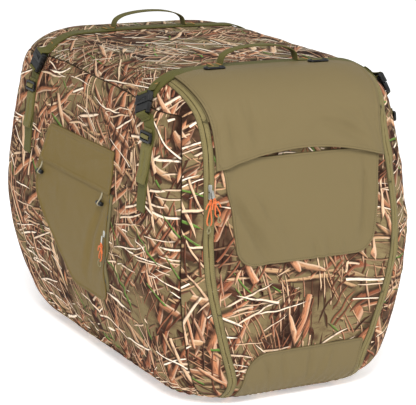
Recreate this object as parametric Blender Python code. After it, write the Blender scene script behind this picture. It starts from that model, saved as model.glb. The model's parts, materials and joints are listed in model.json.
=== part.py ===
"""Insulated camouflage cover for a hard dog kennel, as a set of sewn panels and hardware.

Frame: metres, +Z up, front towards -Y, X across the width. The origin is the middle of the
cover's footprint at floor level. Every size below is one real dimension of the cover.
"""
import math

import bpy
from mathutils import Matrix, Vector

# Overall body
WIDTH = 0.567
DEPTH = 0.855
HEIGHT = 0.620
WIDEST_Z = 0.277
CORNER_RADIUS = 0.115
TOP_ROUND = 0.071
HEM_ROUND = 0.059
HEM_TURN = 0.015

# How far each wall leans in from the widest height, at the top and at the floor
SIDE_LEAN = (0.033, 0.059)
FRONT_LEAN = (0.074, 0.019)
BACK_LEAN = (0.050, 0.100)
LEAN_POWER = (1.7, 1.9)
CORNER_TIGHTENING = 0.3

# Cloth thicknesses and clearances
PANEL_THICKNESS = 0.010
LAYER_THICKNESS = 0.0016
WEBBING_THICKNESS = 0.0020
SCREEN_THICKNESS = 0.0010
TOUCH_GAP = 0.0005
SEAM_GAP = 0.0010

# Webbing. A strap's path over the roof is a list of insets from the widest side and distances
# from the front or the back of the cover. Below the roof each end comes down at one distance.
STRAP_WIDTH = 0.032
FRONT_STRAP_PATH = ((0.2235, 0.2050), (0.1635, 0.1970), (0.1135, 0.1840), (0.0735, 0.1770),
                    (0.0475, 0.1730), (0.0275, 0.1650), (0.0135, 0.1560))
REAR_STRAP_PATH = ((0.2235, 0.1870), (0.1635, 0.1950), (0.1135, 0.2050), (0.0735, 0.2120),
                   (0.0475, 0.2110), (0.0275, 0.2050), (0.0135, 0.1980))
FRONT_SIDE_STRAP_Y = 0.139
REAR_SIDE_STRAP_Y = DEPTH - 0.186
FRONT_STRAP_TOP_Y = 0.154
REAR_STRAP_TOP_Y = DEPTH - 0.196
ROOF_STRAP_END_Z = HEIGHT - 0.040
SIDE_STRAP_TOP_Z = HEIGHT - 0.068
SIDE_STRAP_BEND_Z = HEIGHT - 0.104
SIDE_STRAP_END_Z = 0.370

# Door: how far the doorway's edge is from the widest part of the side, at a list of heights
DOOR_EDGE = ((-0.030, 0.1535), (0.055, 0.1405), (0.126, 0.1175), (0.200, 0.0965), (0.270, 0.0815),
             (0.330, 0.0780), (0.360, 0.0800), (0.430, 0.0850), (0.500, 0.0900), (0.560, 0.0855),
             (0.620, 0.0680), (0.660, 0.0585))
DOOR_RELIEF = 0.0030
DOOR_RELIEF_RISE = 0.090
DOOR_FOLDS = (0.272, 0.118)
FOLD_AXIS_OUT = 0.0050
TAPE_WIDTH = 0.0090
TAPE_LOW_Z = 0.012
FLAP_HEM_TOP = HEIGHT - 0.128
FLAP_HEM_SAG = 0.030
FLAP_INSET = 0.012
PATCH_BOTTOM = 0.282
PATCH_HALF_TOP = WIDTH / 2 - 0.1105
PATCH_HALF_BOTTOM = WIDTH / 2 - 0.1365
PATCH_CORNER = 0.040
PATCH_TUCK = 0.020
KICK_TOP = 0.106
KICK_BOTTOM = 0.016
KICK_LEFT = WIDTH / 2 - 0.1555
KICK_CORNER = 0.050
KICK_INSET = 0.013

# Side windows, as distances from the front of the cover and heights
HEM_LINE_Z = 0.375
BAND_TOP_Z = 0.456
WINDOW_FRONT_Y = 0.262
BAND_REAR_Y = 0.585
FLAP_REAR_Y = 0.612
FLAP_BOTTOM_Z = 0.145
FLAP_TOE_Y = 0.288
FLAP_HEEL_Y = 0.440
WINDOW_LAP = 0.022
SCREEN_LAP = 0.012
FLAP_AXIS_OUT = 0.0035

# Hardware
BUCKLE_WIDTH = 0.045
BUCKLE_HALF_LENGTH = 0.021
BUCKLE_THICKNESS = 0.010
BUCKLE_Z = HEIGHT - 0.054
BUCKLE_Y = {"front": 0.165, "rear": DEPTH - 0.205}
BUCKLE_TILT = {"front": 24, "rear": -15}
BUCKLE_LIFT = 0.0030
BUCKLE_WALL = 0.0022
PRONG_LENGTH = 0.016
PRONG_WIDTH = 0.008
FIT_CLEARANCE = 0.0006
WEBBING_SLOT = 0.0034
GLIDE_Z = HEIGHT - 0.109
GLIDE_SIZE = (0.040, 0.020, 0.0045)
HANDLE_SPAN = 0.166
HANDLE_HEIGHT = 0.038
HANDLE_WIDTH = 0.022
HANDLE_THICKNESS = 0.0026
CLIP_X = 0.115
CLIP_SIZE = (0.046, 0.018, 0.0044)
CLIP_SLOT = (0.034, 0.0065)
SLIDER_SIZE = (0.009, 0.013, 0.003)
DOOR_SLIDER_Z = (HEIGHT - 0.1870, HEIGHT - 0.2015)
FLAP_SLIDER_Z = 0.292
CORD_RADIUS = 0.0015
PULL_LENGTH = 0.036
PULL_HALF_WIDTH = 0.004
TOGGLE_LENGTH = 0.022
TOGGLE_RADIUS = 0.0045
TOGGLE_DROP = 0.020
TOGGLE_INSET = (0.034, 0.030)
ELASTIC_RADIUS = 0.0012
ELASTIC_THICKNESS = 0.003

# Mesh resolution
CORNER_STEPS = 6
FRONT_STEPS = 4
SIDE_STEPS = 5
HEM_STEPS = 3
WALL_ROWS = 8
TOP_STEPS = 5
EDGE_STEPS = 40
PANEL_EDGE_STEPS = 14
FLAP_EDGE_STEPS = 6

SEAM_Z = HEIGHT - TOP_ROUND
ORIGIN_Y = DEPTH / 2

# Limits of the cutting shapes, clear of the cover on every side
UNDER = -0.020
OVER = HEIGHT + 0.080
BEFORE = -DEPTH
BEHIND = DEPTH
BESIDE = WIDTH
WALL_FROM = WIDTH / 6

OLIVE = (0.283, 0.227, 0.107)
WEBBING = (0.142, 0.127, 0.021)
CAMO = (0.19, 0.14, 0.08)
PLASTIC = (0.012, 0.012, 0.012)
TAPE = (0.31, 0.27, 0.11)
ORANGE = (0.80, 0.16, 0.02)
SCREEN = (0.02, 0.02, 0.018)
MATERIALS = {}


def material(name, colour, roughness, metallic=0.0):
    """One Principled material for each finish, made the first time it is asked for."""
    if name not in MATERIALS:
        made = bpy.data.materials.new(name)
        made.use_nodes = True
        shader = made.node_tree.nodes["Principled BSDF"]
        shader.inputs["Base Color"].default_value = (*colour, 1.0)
        shader.inputs["Roughness"].default_value = roughness
        shader.inputs["Metallic"].default_value = metallic
        MATERIALS[name] = made
    return MATERIALS[name]


def camo():
    return material("camo_shell", CAMO, 0.85)


def olive():
    return material("olive_nylon", OLIVE, 0.75)


def webbing():
    return material("webbing", WEBBING, 0.8)


def plastic():
    return material("black_plastic", PLASTIC, 0.35)


def tape():
    return material("zip_tape", TAPE, 0.7)


# ---------------------------------------------------------------- body surface


def lean(height, amounts):
    """How far a wall leans in at a height."""
    top, foot = amounts
    if height > WIDEST_Z:
        return top * ((height - WIDEST_Z) / (HEIGHT - WIDEST_Z)) ** LEAN_POWER[0]
    return foot * ((WIDEST_Z - height) / WIDEST_Z) ** LEAN_POWER[1]


def levels():
    """Rows of the body from the hem's inner edge to the roof: height, inset, normal angle."""
    rows = [(0.0, HEM_ROUND + HEM_TURN, -math.pi / 2)]
    for step in range(HEM_STEPS):
        angle = -math.pi / 2 * (1 - step / HEM_STEPS)
        rows.append((HEM_ROUND * (1 + math.sin(angle)), HEM_ROUND * (1 - math.cos(angle)), angle))
    for step in range(WALL_ROWS + 1):
        rows.append((HEM_ROUND + (SEAM_Z - HEM_ROUND) * step / WALL_ROWS, 0.0, 0.0))
    for step in range(1, TOP_STEPS + 1):
        angle = math.pi / 2 * step / TOP_STEPS
        rows.append((SEAM_Z + TOP_ROUND * math.sin(angle), TOP_ROUND * (1 - math.cos(angle)), angle))
    return rows


LEVELS = levels()
SEAM_LEVEL = 1 + HEM_STEPS + WALL_ROWS
FRONT_COLUMNS = CORNER_STEPS + FRONT_STEPS
SIDE_COLUMNS = CORNER_STEPS + SIDE_STEPS


def ring(level, offset):
    """One closed row of points round the body, from the middle of the front left corner."""
    height, inset, angle = level
    out = offset * math.cos(angle)
    half = WIDTH / 2 - lean(height, SIDE_LEAN) - inset + out
    front = lean(height, FRONT_LEAN) + inset - out - ORIGIN_Y
    back = DEPTH - lean(height, BACK_LEAN) - inset + out - ORIGIN_Y
    radius = CORNER_RADIUS - CORNER_TIGHTENING * inset + out
    z = height + offset * math.sin(angle)
    corners = ((half - radius, front + radius, -90, FRONT_STEPS),
               (half - radius, back - radius, 0, SIDE_STEPS),
               (radius - half, back - radius, 90, FRONT_STEPS),
               (radius - half, front + radius, 180, SIDE_STEPS))
    arcs = []
    for x, y, start, _ in corners:
        turns = [math.radians(start + 90 * step / CORNER_STEPS) for step in range(CORNER_STEPS + 1)]
        arcs.append([Vector((x + radius * math.cos(t), y + radius * math.sin(t), z)) for t in turns])
    points = []
    middle = CORNER_STEPS // 2
    for index, corner in enumerate(corners):
        before = arcs[index - 1]
        after = arcs[index]
        points += before[middle:]
        steps = corner[3]
        points += [before[-1].lerp(after[0], step / steps) for step in range(1, steps)]
        points += after[:middle]
    return points


def wall_x(height, offset=0.0):
    """Half width of the body at a height, on the straight part of a side."""
    angle = 0.0
    inset = 0.0
    if height > SEAM_Z:
        angle = math.asin(min(1.0, (height - SEAM_Z) / TOP_ROUND))
        inset = TOP_ROUND * (1 - math.cos(angle))
    return WIDTH / 2 - lean(height, SIDE_LEAN) - inset + offset


def front_y(height, offset=0.0):
    """Y of the front wall at a height, on its straight part, offset outwards."""
    return lean(height, FRONT_LEAN) - offset - ORIGIN_Y


def front_surface_y(x, height, offset=0.0):
    """Y of the front wall at any x within the front corners' arcs."""
    half = WIDTH / 2 - lean(height, SIDE_LEAN)
    past = max(0.0, abs(x) - (half - CORNER_RADIUS))
    return front_y(height, offset) + CORNER_RADIUS - math.sqrt(CORNER_RADIUS ** 2 - past ** 2)


# ---------------------------------------------------------------- mesh helpers


def new_object(name, vertices, faces, finish=None):
    """A mesh object with outward faces."""
    mesh = bpy.data.meshes.new(name)
    mesh.from_pydata([tuple(v) for v in vertices], [], faces)
    mesh.update()
    made = bpy.data.objects.new(name, mesh)
    bpy.context.scene.collection.objects.link(made)
    if finish:
        mesh.materials.append(finish)
    return made


def evaluated_copy(thing):
    bpy.context.view_layer.update()
    graph = bpy.context.evaluated_depsgraph_get()
    return bpy.data.meshes.new_from_object(thing.evaluated_get(graph))


def carve(target, cutter, operation):
    """Apply one Boolean of target with cutter, then remove the cutter."""
    modifier = target.modifiers.new(operation, "BOOLEAN")
    modifier.object = cutter
    modifier.operation = operation
    modifier.solver = "EXACT"
    mesh = evaluated_copy(target)
    target.modifiers.clear()
    target.data = mesh
    bpy.data.objects.remove(cutter)
    return target


def duplicate(source, name):
    made = bpy.data.objects.new(name, source.data.copy())
    bpy.context.scene.collection.objects.link(made)
    return made


def finish_node(thing, name, finish, smooth_angle=35):
    """Give an object its node name, one material and smooth shading."""
    thing.name = name
    thing.data.name = name
    thing.data.materials.clear()
    thing.data.materials.append(finish)
    for face in thing.data.polygons:
        face.material_index = 0
    thing.data.shade_smooth()
    thing.data.set_sharp_from_angle(angle=math.radians(smooth_angle))
    return thing


def set_origin(thing, point):
    """Move an object's origin to a joint's axis, with its shape kept in place."""
    shift = Vector(point) - thing.location
    thing.data.transform(Matrix.Translation(-shift))
    thing.location = point


def prism(outline, axis, low, high):
    """A closed prism of a plane outline, extruded along X, Y or Z."""
    place = {"X": lambda a, b, c: (c, a, b), "Y": lambda a, b, c: (a, c, b), "Z": lambda a, b, c: (a, b, c)}
    area = sum(a[0] * b[1] - b[0] * a[1] for a, b in zip(outline, outline[1:] + outline[:1]))
    points = list(outline) if area > 0 else list(reversed(outline))
    if axis == "Y":
        points.reverse()
    count = len(points)
    vertices = [place[axis](a, b, c) for c in (low, high) for a, b in points]
    faces = [tuple(reversed(range(count))), tuple(range(count, 2 * count))]
    faces += [(i, (i + 1) % count, count + (i + 1) % count, count + i) for i in range(count)]
    return new_object("cutter", vertices, faces)


def block(low, high):
    """A box from its lowest to its highest corner."""
    outline = [(low[0], low[1]), (high[0], low[1]), (high[0], high[1]), (low[0], high[1])]
    return prism(outline, "Z", low[2], high[2])


def rounded(corners, steps=4):
    """An outline of (u, v, radius) corners with each corner's arc filled in."""
    points = []
    count = len(corners)
    for index, (u, v, radius) in enumerate(corners):
        here = Vector((u, v))
        to_before = (Vector(corners[index - 1][:2]) - here).normalized()
        to_after = (Vector(corners[(index + 1) % count][:2]) - here).normalized()
        if radius == 0:
            points.append((u, v))
            continue
        half_angle = to_before.angle(to_after) / 2
        reach = radius / math.tan(half_angle)
        bisector = (to_before + to_after).normalized()
        centre = here + bisector * radius / math.sin(half_angle)
        first = here + to_before * reach - centre
        last = here + to_after * reach - centre
        sweep = first.angle_signed(last)
        for step in range(steps + 1):
            turned = Matrix.Rotation(-sweep * step / steps, 2) @ first
            points.append(tuple(centre + turned))
    return points


def shell(name, inner, outer, first_level=0):
    """The whole body between two offsets, from one level up to the closed roof."""
    rows = LEVELS[first_level:]
    count = len(ring(rows[0], 0.0))
    vertices = []
    for offset in (outer, inner):
        for level in rows:
            vertices += ring(level, offset)
    if first_level:
        for start in (0, len(rows) * count):
            for column in range(count):
                here = vertices[start + column]
                above = vertices[start + count + column]
                vertices[start + column] = here + (above - here).normalized() * SEAM_GAP / 2
    faces = []
    inside = len(rows) * count
    for row in range(len(rows) - 1):
        for column in range(count):
            after = (column + 1) % count
            a = row * count
            faces.append((a + column, a + after, a + count + after, a + count + column))
            b = inside + a
            faces.append((b + column, b + count + column, b + count + after, b + after))
    for column in range(count):
        after = (column + 1) % count
        faces.append((column, inside + column, inside + after, after))
    top = (len(rows) - 1) * count
    faces.append(tuple(range(top, top + count)))
    faces.append(tuple(reversed(range(inside + top, inside + top + count))))
    return new_object(name, vertices, faces)


def patch(name, columns, rows, inner, outer, trims):
    """A closed piece of the body between two columns and two levels, each edge trimmed in."""
    first, last = columns
    low, high = rows
    wide = last - first + 1
    tall = high - low + 1
    vertices = []
    for offset in (outer, inner):
        grid = []
        for level in LEVELS[low:high + 1]:
            points = ring(level, offset)
            grid.append([points[c % len(points)] for c in range(first, last + 1)])
        for row in grid:
            row[0] = row[0] + (row[1] - row[0]).normalized() * trims[0]
            row[-1] = row[-1] + (row[-2] - row[-1]).normalized() * trims[1]
        for column in range(wide):
            here, above = grid[0][column], grid[1][column]
            grid[0][column] = here + (above - here).normalized() * trims[2]
            here, below = grid[-1][column], grid[-2][column]
            grid[-1][column] = here + (below - here).normalized() * trims[3]
        vertices += [point for row in grid for point in row]
    inside = wide * tall
    faces = []
    for row in range(tall - 1):
        for column in range(wide - 1):
            a = row * wide + column
            faces.append((a, a + 1, a + wide + 1, a + wide))
            b = inside + a
            faces.append((b, b + wide, b + wide + 1, b + 1))
    edge = [column for column in range(wide)]
    edge += [row * wide + wide - 1 for row in range(1, tall)]
    edge += [(tall - 1) * wide + column for column in range(wide - 2, -1, -1)]
    edge += [row * wide for row in range(tall - 2, 0, -1)]
    for a, b in zip(edge, edge[1:] + edge[:1]):
        faces.append((a, inside + a, inside + b, b))
    return new_object(name, vertices, faces)


# Columns of the four walls, each from the middle of one corner to the middle of the next
FRONT_WALL = (0, FRONT_COLUMNS)
RIGHT_WALL = (FRONT_COLUMNS, FRONT_COLUMNS + SIDE_COLUMNS)
REAR_WALL = (RIGHT_WALL[1], RIGHT_WALL[1] + FRONT_COLUMNS)
LEFT_WALL = (REAR_WALL[1], REAR_WALL[1] + SIDE_COLUMNS)


# ---------------------------------------------------------------- outlines


def door_half(height):
    """Half width of the doorway at a height, by a smooth curve through DOOR_EDGE."""
    knots = DOOR_EDGE
    height = min(max(height, knots[1][0]), knots[-2][0])
    index = max(i for i in range(1, len(knots) - 2) if knots[i][0] <= height or i == 1)
    z0, z1 = knots[index][0], knots[index + 1][0]
    t = (height - z0) / (z1 - z0)
    before = (knots[index + 1][1] - knots[index - 1][1]) / (knots[index + 1][0] - knots[index - 1][0])
    after = (knots[index + 2][1] - knots[index][1]) / (knots[index + 2][0] - knots[index][0])
    p0, p1 = knots[index][1], knots[index + 1][1]
    span = z1 - z0
    return WIDTH / 2 - ((2 * t ** 3 - 3 * t ** 2 + 1) * p0 + (t ** 3 - 2 * t ** 2 + t) * span * before
            + (3 * t ** 2 - 2 * t ** 3) * p1 + (t ** 3 - t ** 2) * span * after)


def door_line(offset, low, high, steps, relief=0.0):
    """Points (x, z) along the doorway's right edge, offset outwards, drawn in by relief at the hinge."""
    points = []
    for step in range(steps + 1):
        z = low + (high - low) * step / steps
        share = min(1.0, max(0.0, 1 - (SEAM_Z - z) / DOOR_RELIEF_RISE))
        points.append((door_half(z) + offset - relief * share, z))
    return points


def door_area(offset, low, high, steps, relief=0.0):
    """The doorway's outline between two heights, grown by offset."""
    right = door_line(offset, low, high, steps, relief)
    left = [(-x, z) for x, z in reversed(right)]
    return right + left


def wall_reach(side):
    """X limits of a cutting shape that passes through one side wall."""
    return sorted((side * WALL_FROM, side * BESIDE))


def strap_line(word):
    """Points (x, y) of a strap's centre line over the roof, from left to right."""
    path = FRONT_STRAP_PATH
    if word == "rear":
        path = tuple((inset, DEPTH - from_back) for inset, from_back in REAR_STRAP_PATH)
    right = [(WIDTH / 2 - inset, y - ORIGIN_Y) for inset, y in path]
    return [(-x, y) for x, y in reversed(right)] + right


def strap_y(word, x):
    """Y of a strap's centre line at any x over the roof."""
    line = strap_line(word)
    for (x0, y0), (x1, y1) in zip(line, line[1:]):
        if x0 <= x <= x1:
            return y0 + (y1 - y0) * (x - x0) / (x1 - x0)
    return line[-1][1]


def strap_band(word):
    """Plan outline (x, y) of a roof strap."""
    half = STRAP_WIDTH / 2
    line = strap_line(word)
    return [(x, y - half) for x, y in line] + [(x, y + half) for x, y in reversed(line)]


def side_strap_band(word):
    """Outline (y, z) of the strap down a side, which slants back to its buckle at the top."""
    y, top = FRONT_SIDE_STRAP_Y, FRONT_STRAP_TOP_Y
    if word == "rear":
        y, top = REAR_SIDE_STRAP_Y, REAR_STRAP_TOP_Y
    half = STRAP_WIDTH / 2
    line = ((y - ORIGIN_Y, SIDE_STRAP_END_Z), (y - ORIGIN_Y, SIDE_STRAP_BEND_Z),
            (top - ORIGIN_Y, SIDE_STRAP_TOP_Z))
    return [(y + half, z) for y, z in line] + [(y - half, z) for y, z in reversed(line)]


def roof_area(far, shift):
    """Plan outline of everything between the front strap's centre line and a far y."""
    line = [(x, y + shift) for x, y in strap_line("front")]
    line = [(-BESIDE, line[0][1])] + line + [(BESIDE, line[-1][1])]
    return line + [(BESIDE, far), (-BESIDE, far)]


def mirrored(outline, side):
    return [(side * u, v) for u, v in outline]


def window_outline(shrink=0.0):
    """Outline (y, z) of the window flap, from its hem line down, shrunk all round."""
    s = shrink
    front = WINDOW_FRONT_Y + s - ORIGIN_Y
    toe = FLAP_TOE_Y + s - ORIGIN_Y
    heel = FLAP_HEEL_Y - s / 2 - ORIGIN_Y
    rear = FLAP_REAR_Y - s - ORIGIN_Y
    top = HEM_LINE_Z - s
    return rounded([(front, top, 0.004 + s / 2), (toe, FLAP_BOTTOM_Z + s, 0.030),
                    (heel, FLAP_BOTTOM_Z + s, 0.060), (rear, HEM_LINE_Z - 0.072, 0.060),
                    (rear - 0.010, top, 0.004 + s / 2)])


def band_outline():
    """Outline (y, z) of the band above the window's hem line."""
    front = WINDOW_FRONT_Y - ORIGIN_Y
    rear = FLAP_REAR_Y - 0.014 - ORIGIN_Y
    low = HEM_LINE_Z + SEAM_GAP
    return rounded([(front, low, 0.003), (rear, low, 0.003), (BAND_REAR_Y - 0.020 - ORIGIN_Y, BAND_TOP_Z, 0.030),
                    (front + 0.002, BAND_TOP_Z, 0.006)])


# ---------------------------------------------------------------- shell panels


def side_cutter(wall):
    """The space of one side panel, grown through the cloth, to clear the front pieces."""
    grow = -SEAM_GAP / 2
    past = 0.0020
    inner = -PANEL_THICKNESS - past
    outer = 2 * (TOUCH_GAP + LAYER_THICKNESS) + past
    return patch("cutter", wall, (0, SEAM_LEVEL), inner, outer, (grow, grow, -past, grow))


def make_front_block(inner, outer):
    """The front of the body as far back as the front strap, without the side panels."""
    block_mesh = shell("front", inner, outer)
    carve(block_mesh, prism(roof_area(BEFORE, -SEAM_GAP / 2), "Z", UNDER, OVER), "INTERSECT")
    carve(block_mesh, side_cutter(LEFT_WALL), "DIFFERENCE")
    carve(block_mesh, side_cutter(RIGHT_WALL), "DIFFERENCE")
    return block_mesh


def make_shell_panels():
    """Roof, sides with window openings, rear, and the front round the doorway."""
    inner = -PANEL_THICKNESS
    trim = SEAM_GAP / 2
    rear = patch("rear", REAR_WALL, (0, SEAM_LEVEL), inner, 0.0, (trim, trim, 0.0, trim))
    finish_node(rear, "rear_panel", camo())
    for side, name, wall in ((-1, "left", LEFT_WALL), (1, "right", RIGHT_WALL)):
        panel = patch(name, wall, (0, SEAM_LEVEL), inner, 0.0, (trim, trim, 0.0, trim))
        hole = prism(window_outline(WINDOW_LAP), "X", *wall_reach(side))
        carve(panel, hole, "DIFFERENCE")
        finish_node(panel, name + "_side_panel", camo())
    roof = shell("roof", inner, 0.0, SEAM_LEVEL)
    carve(roof, prism(roof_area(BEHIND, SEAM_GAP / 2), "Z", UNDER, OVER), "INTERSECT")
    finish_node(roof, "roof_panel", camo())

    front = make_front_block(inner, 0.0)
    for side, name in ((-1, "left"), (1, "right")):
        surround = duplicate(front, name)
        inner_edge = door_line(SEAM_GAP / 2, UNDER, OVER, EDGE_STEPS)
        outline = mirrored(inner_edge + [(BESIDE, OVER), (BESIDE, UNDER)], side)
        carve(surround, prism(outline, "Y", BEFORE, 0), "INTERSECT")
        finish_node(surround, name + "_front_surround", camo())
    pieces = ((SEAM_Z + SEAM_GAP / 2, OVER, "door_lip", olive()),
              (DOOR_FOLDS[0] + SEAM_GAP / 2, SEAM_Z - SEAM_GAP / 2, "door_upper_panel", camo()),
              (DOOR_FOLDS[1] + SEAM_GAP / 2, DOOR_FOLDS[0] - SEAM_GAP / 2, "door_middle_panel", camo()),
              (UNDER, DOOR_FOLDS[1] - SEAM_GAP / 2, "door_lower_panel", camo()))
    for low, high, name, finish in pieces:
        piece = duplicate(front, name)
        area = door_area(-SEAM_GAP / 2, low, high, PANEL_EDGE_STEPS, 0.0 if name == "door_lip" else DOOR_RELIEF)
        carve(piece, prism(area, "Y", BEFORE, 0), "INTERSECT")
        finish_node(piece, name, finish)
    bpy.data.objects.remove(front)
    set_origin(bpy.data.objects["door_upper_panel"], hinge_point(SEAM_Z))
    set_origin(bpy.data.objects["door_middle_panel"], hinge_point(DOOR_FOLDS[0]))
    set_origin(bpy.data.objects["door_lower_panel"], hinge_point(DOOR_FOLDS[1]))


def hinge_point(height):
    """A point on the door's fold line at a height, just outside the cloth."""
    return (0.0, front_y(height, FOLD_AXIS_OUT), height)


def make_hem_elastic():
    """The elastic inside the turned hem, along both sides and the rear."""
    low = -PANEL_THICKNESS - TOUCH_GAP - ELASTIC_THICKNESS
    high = -PANEL_THICKNESS - TOUCH_GAP
    columns = (FRONT_COLUMNS + 1, FRONT_COLUMNS + 2 * SIDE_COLUMNS + FRONT_COLUMNS - 1)
    strip = patch("elastic", columns, (0, 1), low, high, (0.0, 0.0, 0.002, 0.002))
    finish_node(strip, "hem_elastic", material("elastic", (0.05, 0.05, 0.05), 0.8))


# ---------------------------------------------------------------- sewn layers


def make_front_layers():
    """Zip tapes beside the doorway, and the sewn olive layers of the door."""
    low = TOUCH_GAP
    first = make_front_block(low, low + LAYER_THICKNESS)
    strap_edge = strap_y("front", door_half(HEIGHT) + 2 * TAPE_WIDTH) - STRAP_WIDTH / 2 - TOUCH_GAP
    for side, name in ((-1, "left"), (1, "right")):
        strip = duplicate(first, name)
        near = door_line(SEAM_GAP / 2, TAPE_LOW_Z, OVER, EDGE_STEPS)
        far = door_line(SEAM_GAP / 2 + TAPE_WIDTH, TAPE_LOW_Z, OVER, EDGE_STEPS)
        carve(strip, prism(mirrored(near + far[::-1], side), "Y", BEFORE, strap_edge), "INTERSECT")
        finish_node(strip, name + "_zip_tape", tape())

    seam_low = PATCH_BOTTOM
    seam_high = FLAP_HEM_TOP - FLAP_HEM_SAG + PATCH_TUCK
    corners = [(PATCH_HALF_TOP, seam_high, 0), (-PATCH_HALF_TOP, seam_high, 0),
               (-PATCH_HALF_BOTTOM, seam_low, PATCH_CORNER), (PATCH_HALF_BOTTOM, seam_low, PATCH_CORNER)]
    front_patch = duplicate(first, "patch")
    carve(front_patch, prism(rounded(corners, 5), "Y", BEFORE, 0), "INTERSECT")
    finish_node(front_patch, "door_front_patch", olive())

    kick_top = [(-KICK_LEFT, KICK_BOTTOM, 0), (-KICK_LEFT + 0.018, KICK_TOP, KICK_CORNER),
                (door_half(KICK_TOP) - KICK_INSET, KICK_TOP, 0.006),
                (door_half(KICK_BOTTOM) - KICK_INSET, KICK_BOTTOM, 0)]
    kick = duplicate(first, "kick")
    carve(kick, prism(rounded(kick_top, 5), "Y", BEFORE, 0), "INTERSECT")
    finish_node(kick, "door_kick_patch", olive())
    bpy.data.objects.remove(first)

    low = 2 * TOUCH_GAP + LAYER_THICKNESS
    second = make_front_block(low, low + LAYER_THICKNESS)
    top = SEAM_Z - SEAM_GAP / 2
    edge_low = FLAP_HEM_TOP - FLAP_HEM_SAG
    right = door_line(-FLAP_INSET, edge_low, top, FLAP_EDGE_STEPS)
    reach = right[0][0]
    hem = []
    for step in range(1, 16):
        x = -reach + 2 * reach * step / 16
        hem.append((x, FLAP_HEM_TOP - FLAP_HEM_SAG * (x / reach) ** 2))
    left = [(-x, z) for x, z in reversed(right)]
    carve(second, prism(right + left + hem, "Y", BEFORE, 0), "INTERSECT")
    finish_node(second, "door_weather_flap", olive())


def make_window(side, name):
    """Mesh screen behind the opening, the band above and the flap over it."""
    wall = LEFT_WALL if side < 0 else RIGHT_WALL
    reach = wall_reach(side)
    trims = (0.0, 0.0, 0.0, 0.0)
    rows = (2, SEAM_LEVEL)
    behind = -PANEL_THICKNESS - TOUCH_GAP
    screen = patch("screen", wall, rows, behind - SCREEN_THICKNESS, behind, trims)
    carve(screen, prism(window_outline(WINDOW_LAP - SCREEN_LAP), "X", *reach), "INTERSECT")
    finish_node(screen, name + "_window_screen", material("screen_mesh", SCREEN, 0.9))

    band = patch("band", wall, rows, TOUCH_GAP, TOUCH_GAP + LAYER_THICKNESS, trims)
    carve(band, prism(band_outline(), "X", *reach), "INTERSECT")
    finish_node(band, name + "_window_band", olive())

    flap = patch("flap", wall, rows, TOUCH_GAP, TOUCH_GAP + LAYER_THICKNESS, trims)
    carve(flap, prism(window_outline(), "X", *reach), "INTERSECT")
    finish_node(flap, name + "_window_flap", olive())
    set_origin(flap, (side * wall_x(HEM_LINE_Z, FLAP_AXIS_OUT), 0.0, HEM_LINE_Z))


def make_straps():
    """Webbing over the roof and down each side, front and rear."""
    low = TOUCH_GAP
    for name in ("front", "rear"):
        roof = shell("strap", low, low + WEBBING_THICKNESS, SEAM_LEVEL)
        carve(roof, prism(strap_band(name), "Z", ROOF_STRAP_END_Z, OVER), "INTERSECT")
        finish_node(roof, name + "_roof_strap", webbing())
        for side, word in ((-1, "left"), (1, "right")):
            whole = shell("strap", low, low + WEBBING_THICKNESS)
            carve(whole, prism(side_strap_band(name), "X", *wall_reach(side)), "INTERSECT")
            finish_node(whole, name + "_" + word + "_side_strap", webbing())


# ---------------------------------------------------------------- hardware


def side_frame(side, height, centre_y, lift, tilt=0):
    """Matrix of a piece lying on a side wall: X along the wall, Y up it, Z outwards.

    A tilt in degrees leans its upper end towards the back of the cover.
    """
    step = 0.004
    rise = wall_x(height + step) - wall_x(height - step)
    up = Vector((side * rise, 0.0, 2 * step)).normalized()
    out = Vector((side * up.z, 0.0, -side * up.x)).normalized()
    along = up.cross(out)
    place = Vector((side * wall_x(height), centre_y, height)) + out * lift
    frame = Matrix.Identity(4)
    for index, direction in enumerate((along, up, out, place)):
        frame.col[index][:3] = direction
    turn = -math.radians(tilt) if along.y > 0 else math.radians(tilt)
    return frame @ Matrix.Rotation(turn, 4, "Z")


def place_at(thing, frame):
    thing.data.transform(frame)


def buckle_female():
    """The socket half: a webbing bar at its upper end and a mouth at its lower end."""
    half = BUCKLE_WIDTH / 2
    body = prism(rounded([(half, 0.0, 0.002), (half, BUCKLE_HALF_LENGTH, 0.005),
                          (-half, BUCKLE_HALF_LENGTH, 0.005), (-half, 0.0, 0.002)]), "Z",
                 0.0, BUCKLE_THICKNESS)
    wall = BUCKLE_WALL
    mouth = half - 2 * wall
    carve(body, block((-mouth, -0.01, wall), (mouth, PRONG_LENGTH + FIT_CLEARANCE, BUCKLE_THICKNESS - wall)),
          "DIFFERENCE")
    bar = BUCKLE_HALF_LENGTH - wall
    slot = block((-STRAP_WIDTH / 2 - 0.001, bar - WEBBING_SLOT * 0.6, -0.01),
                 (STRAP_WIDTH / 2 + 0.001, bar, 0.05))
    carve(body, slot, "DIFFERENCE")
    return body


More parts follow.
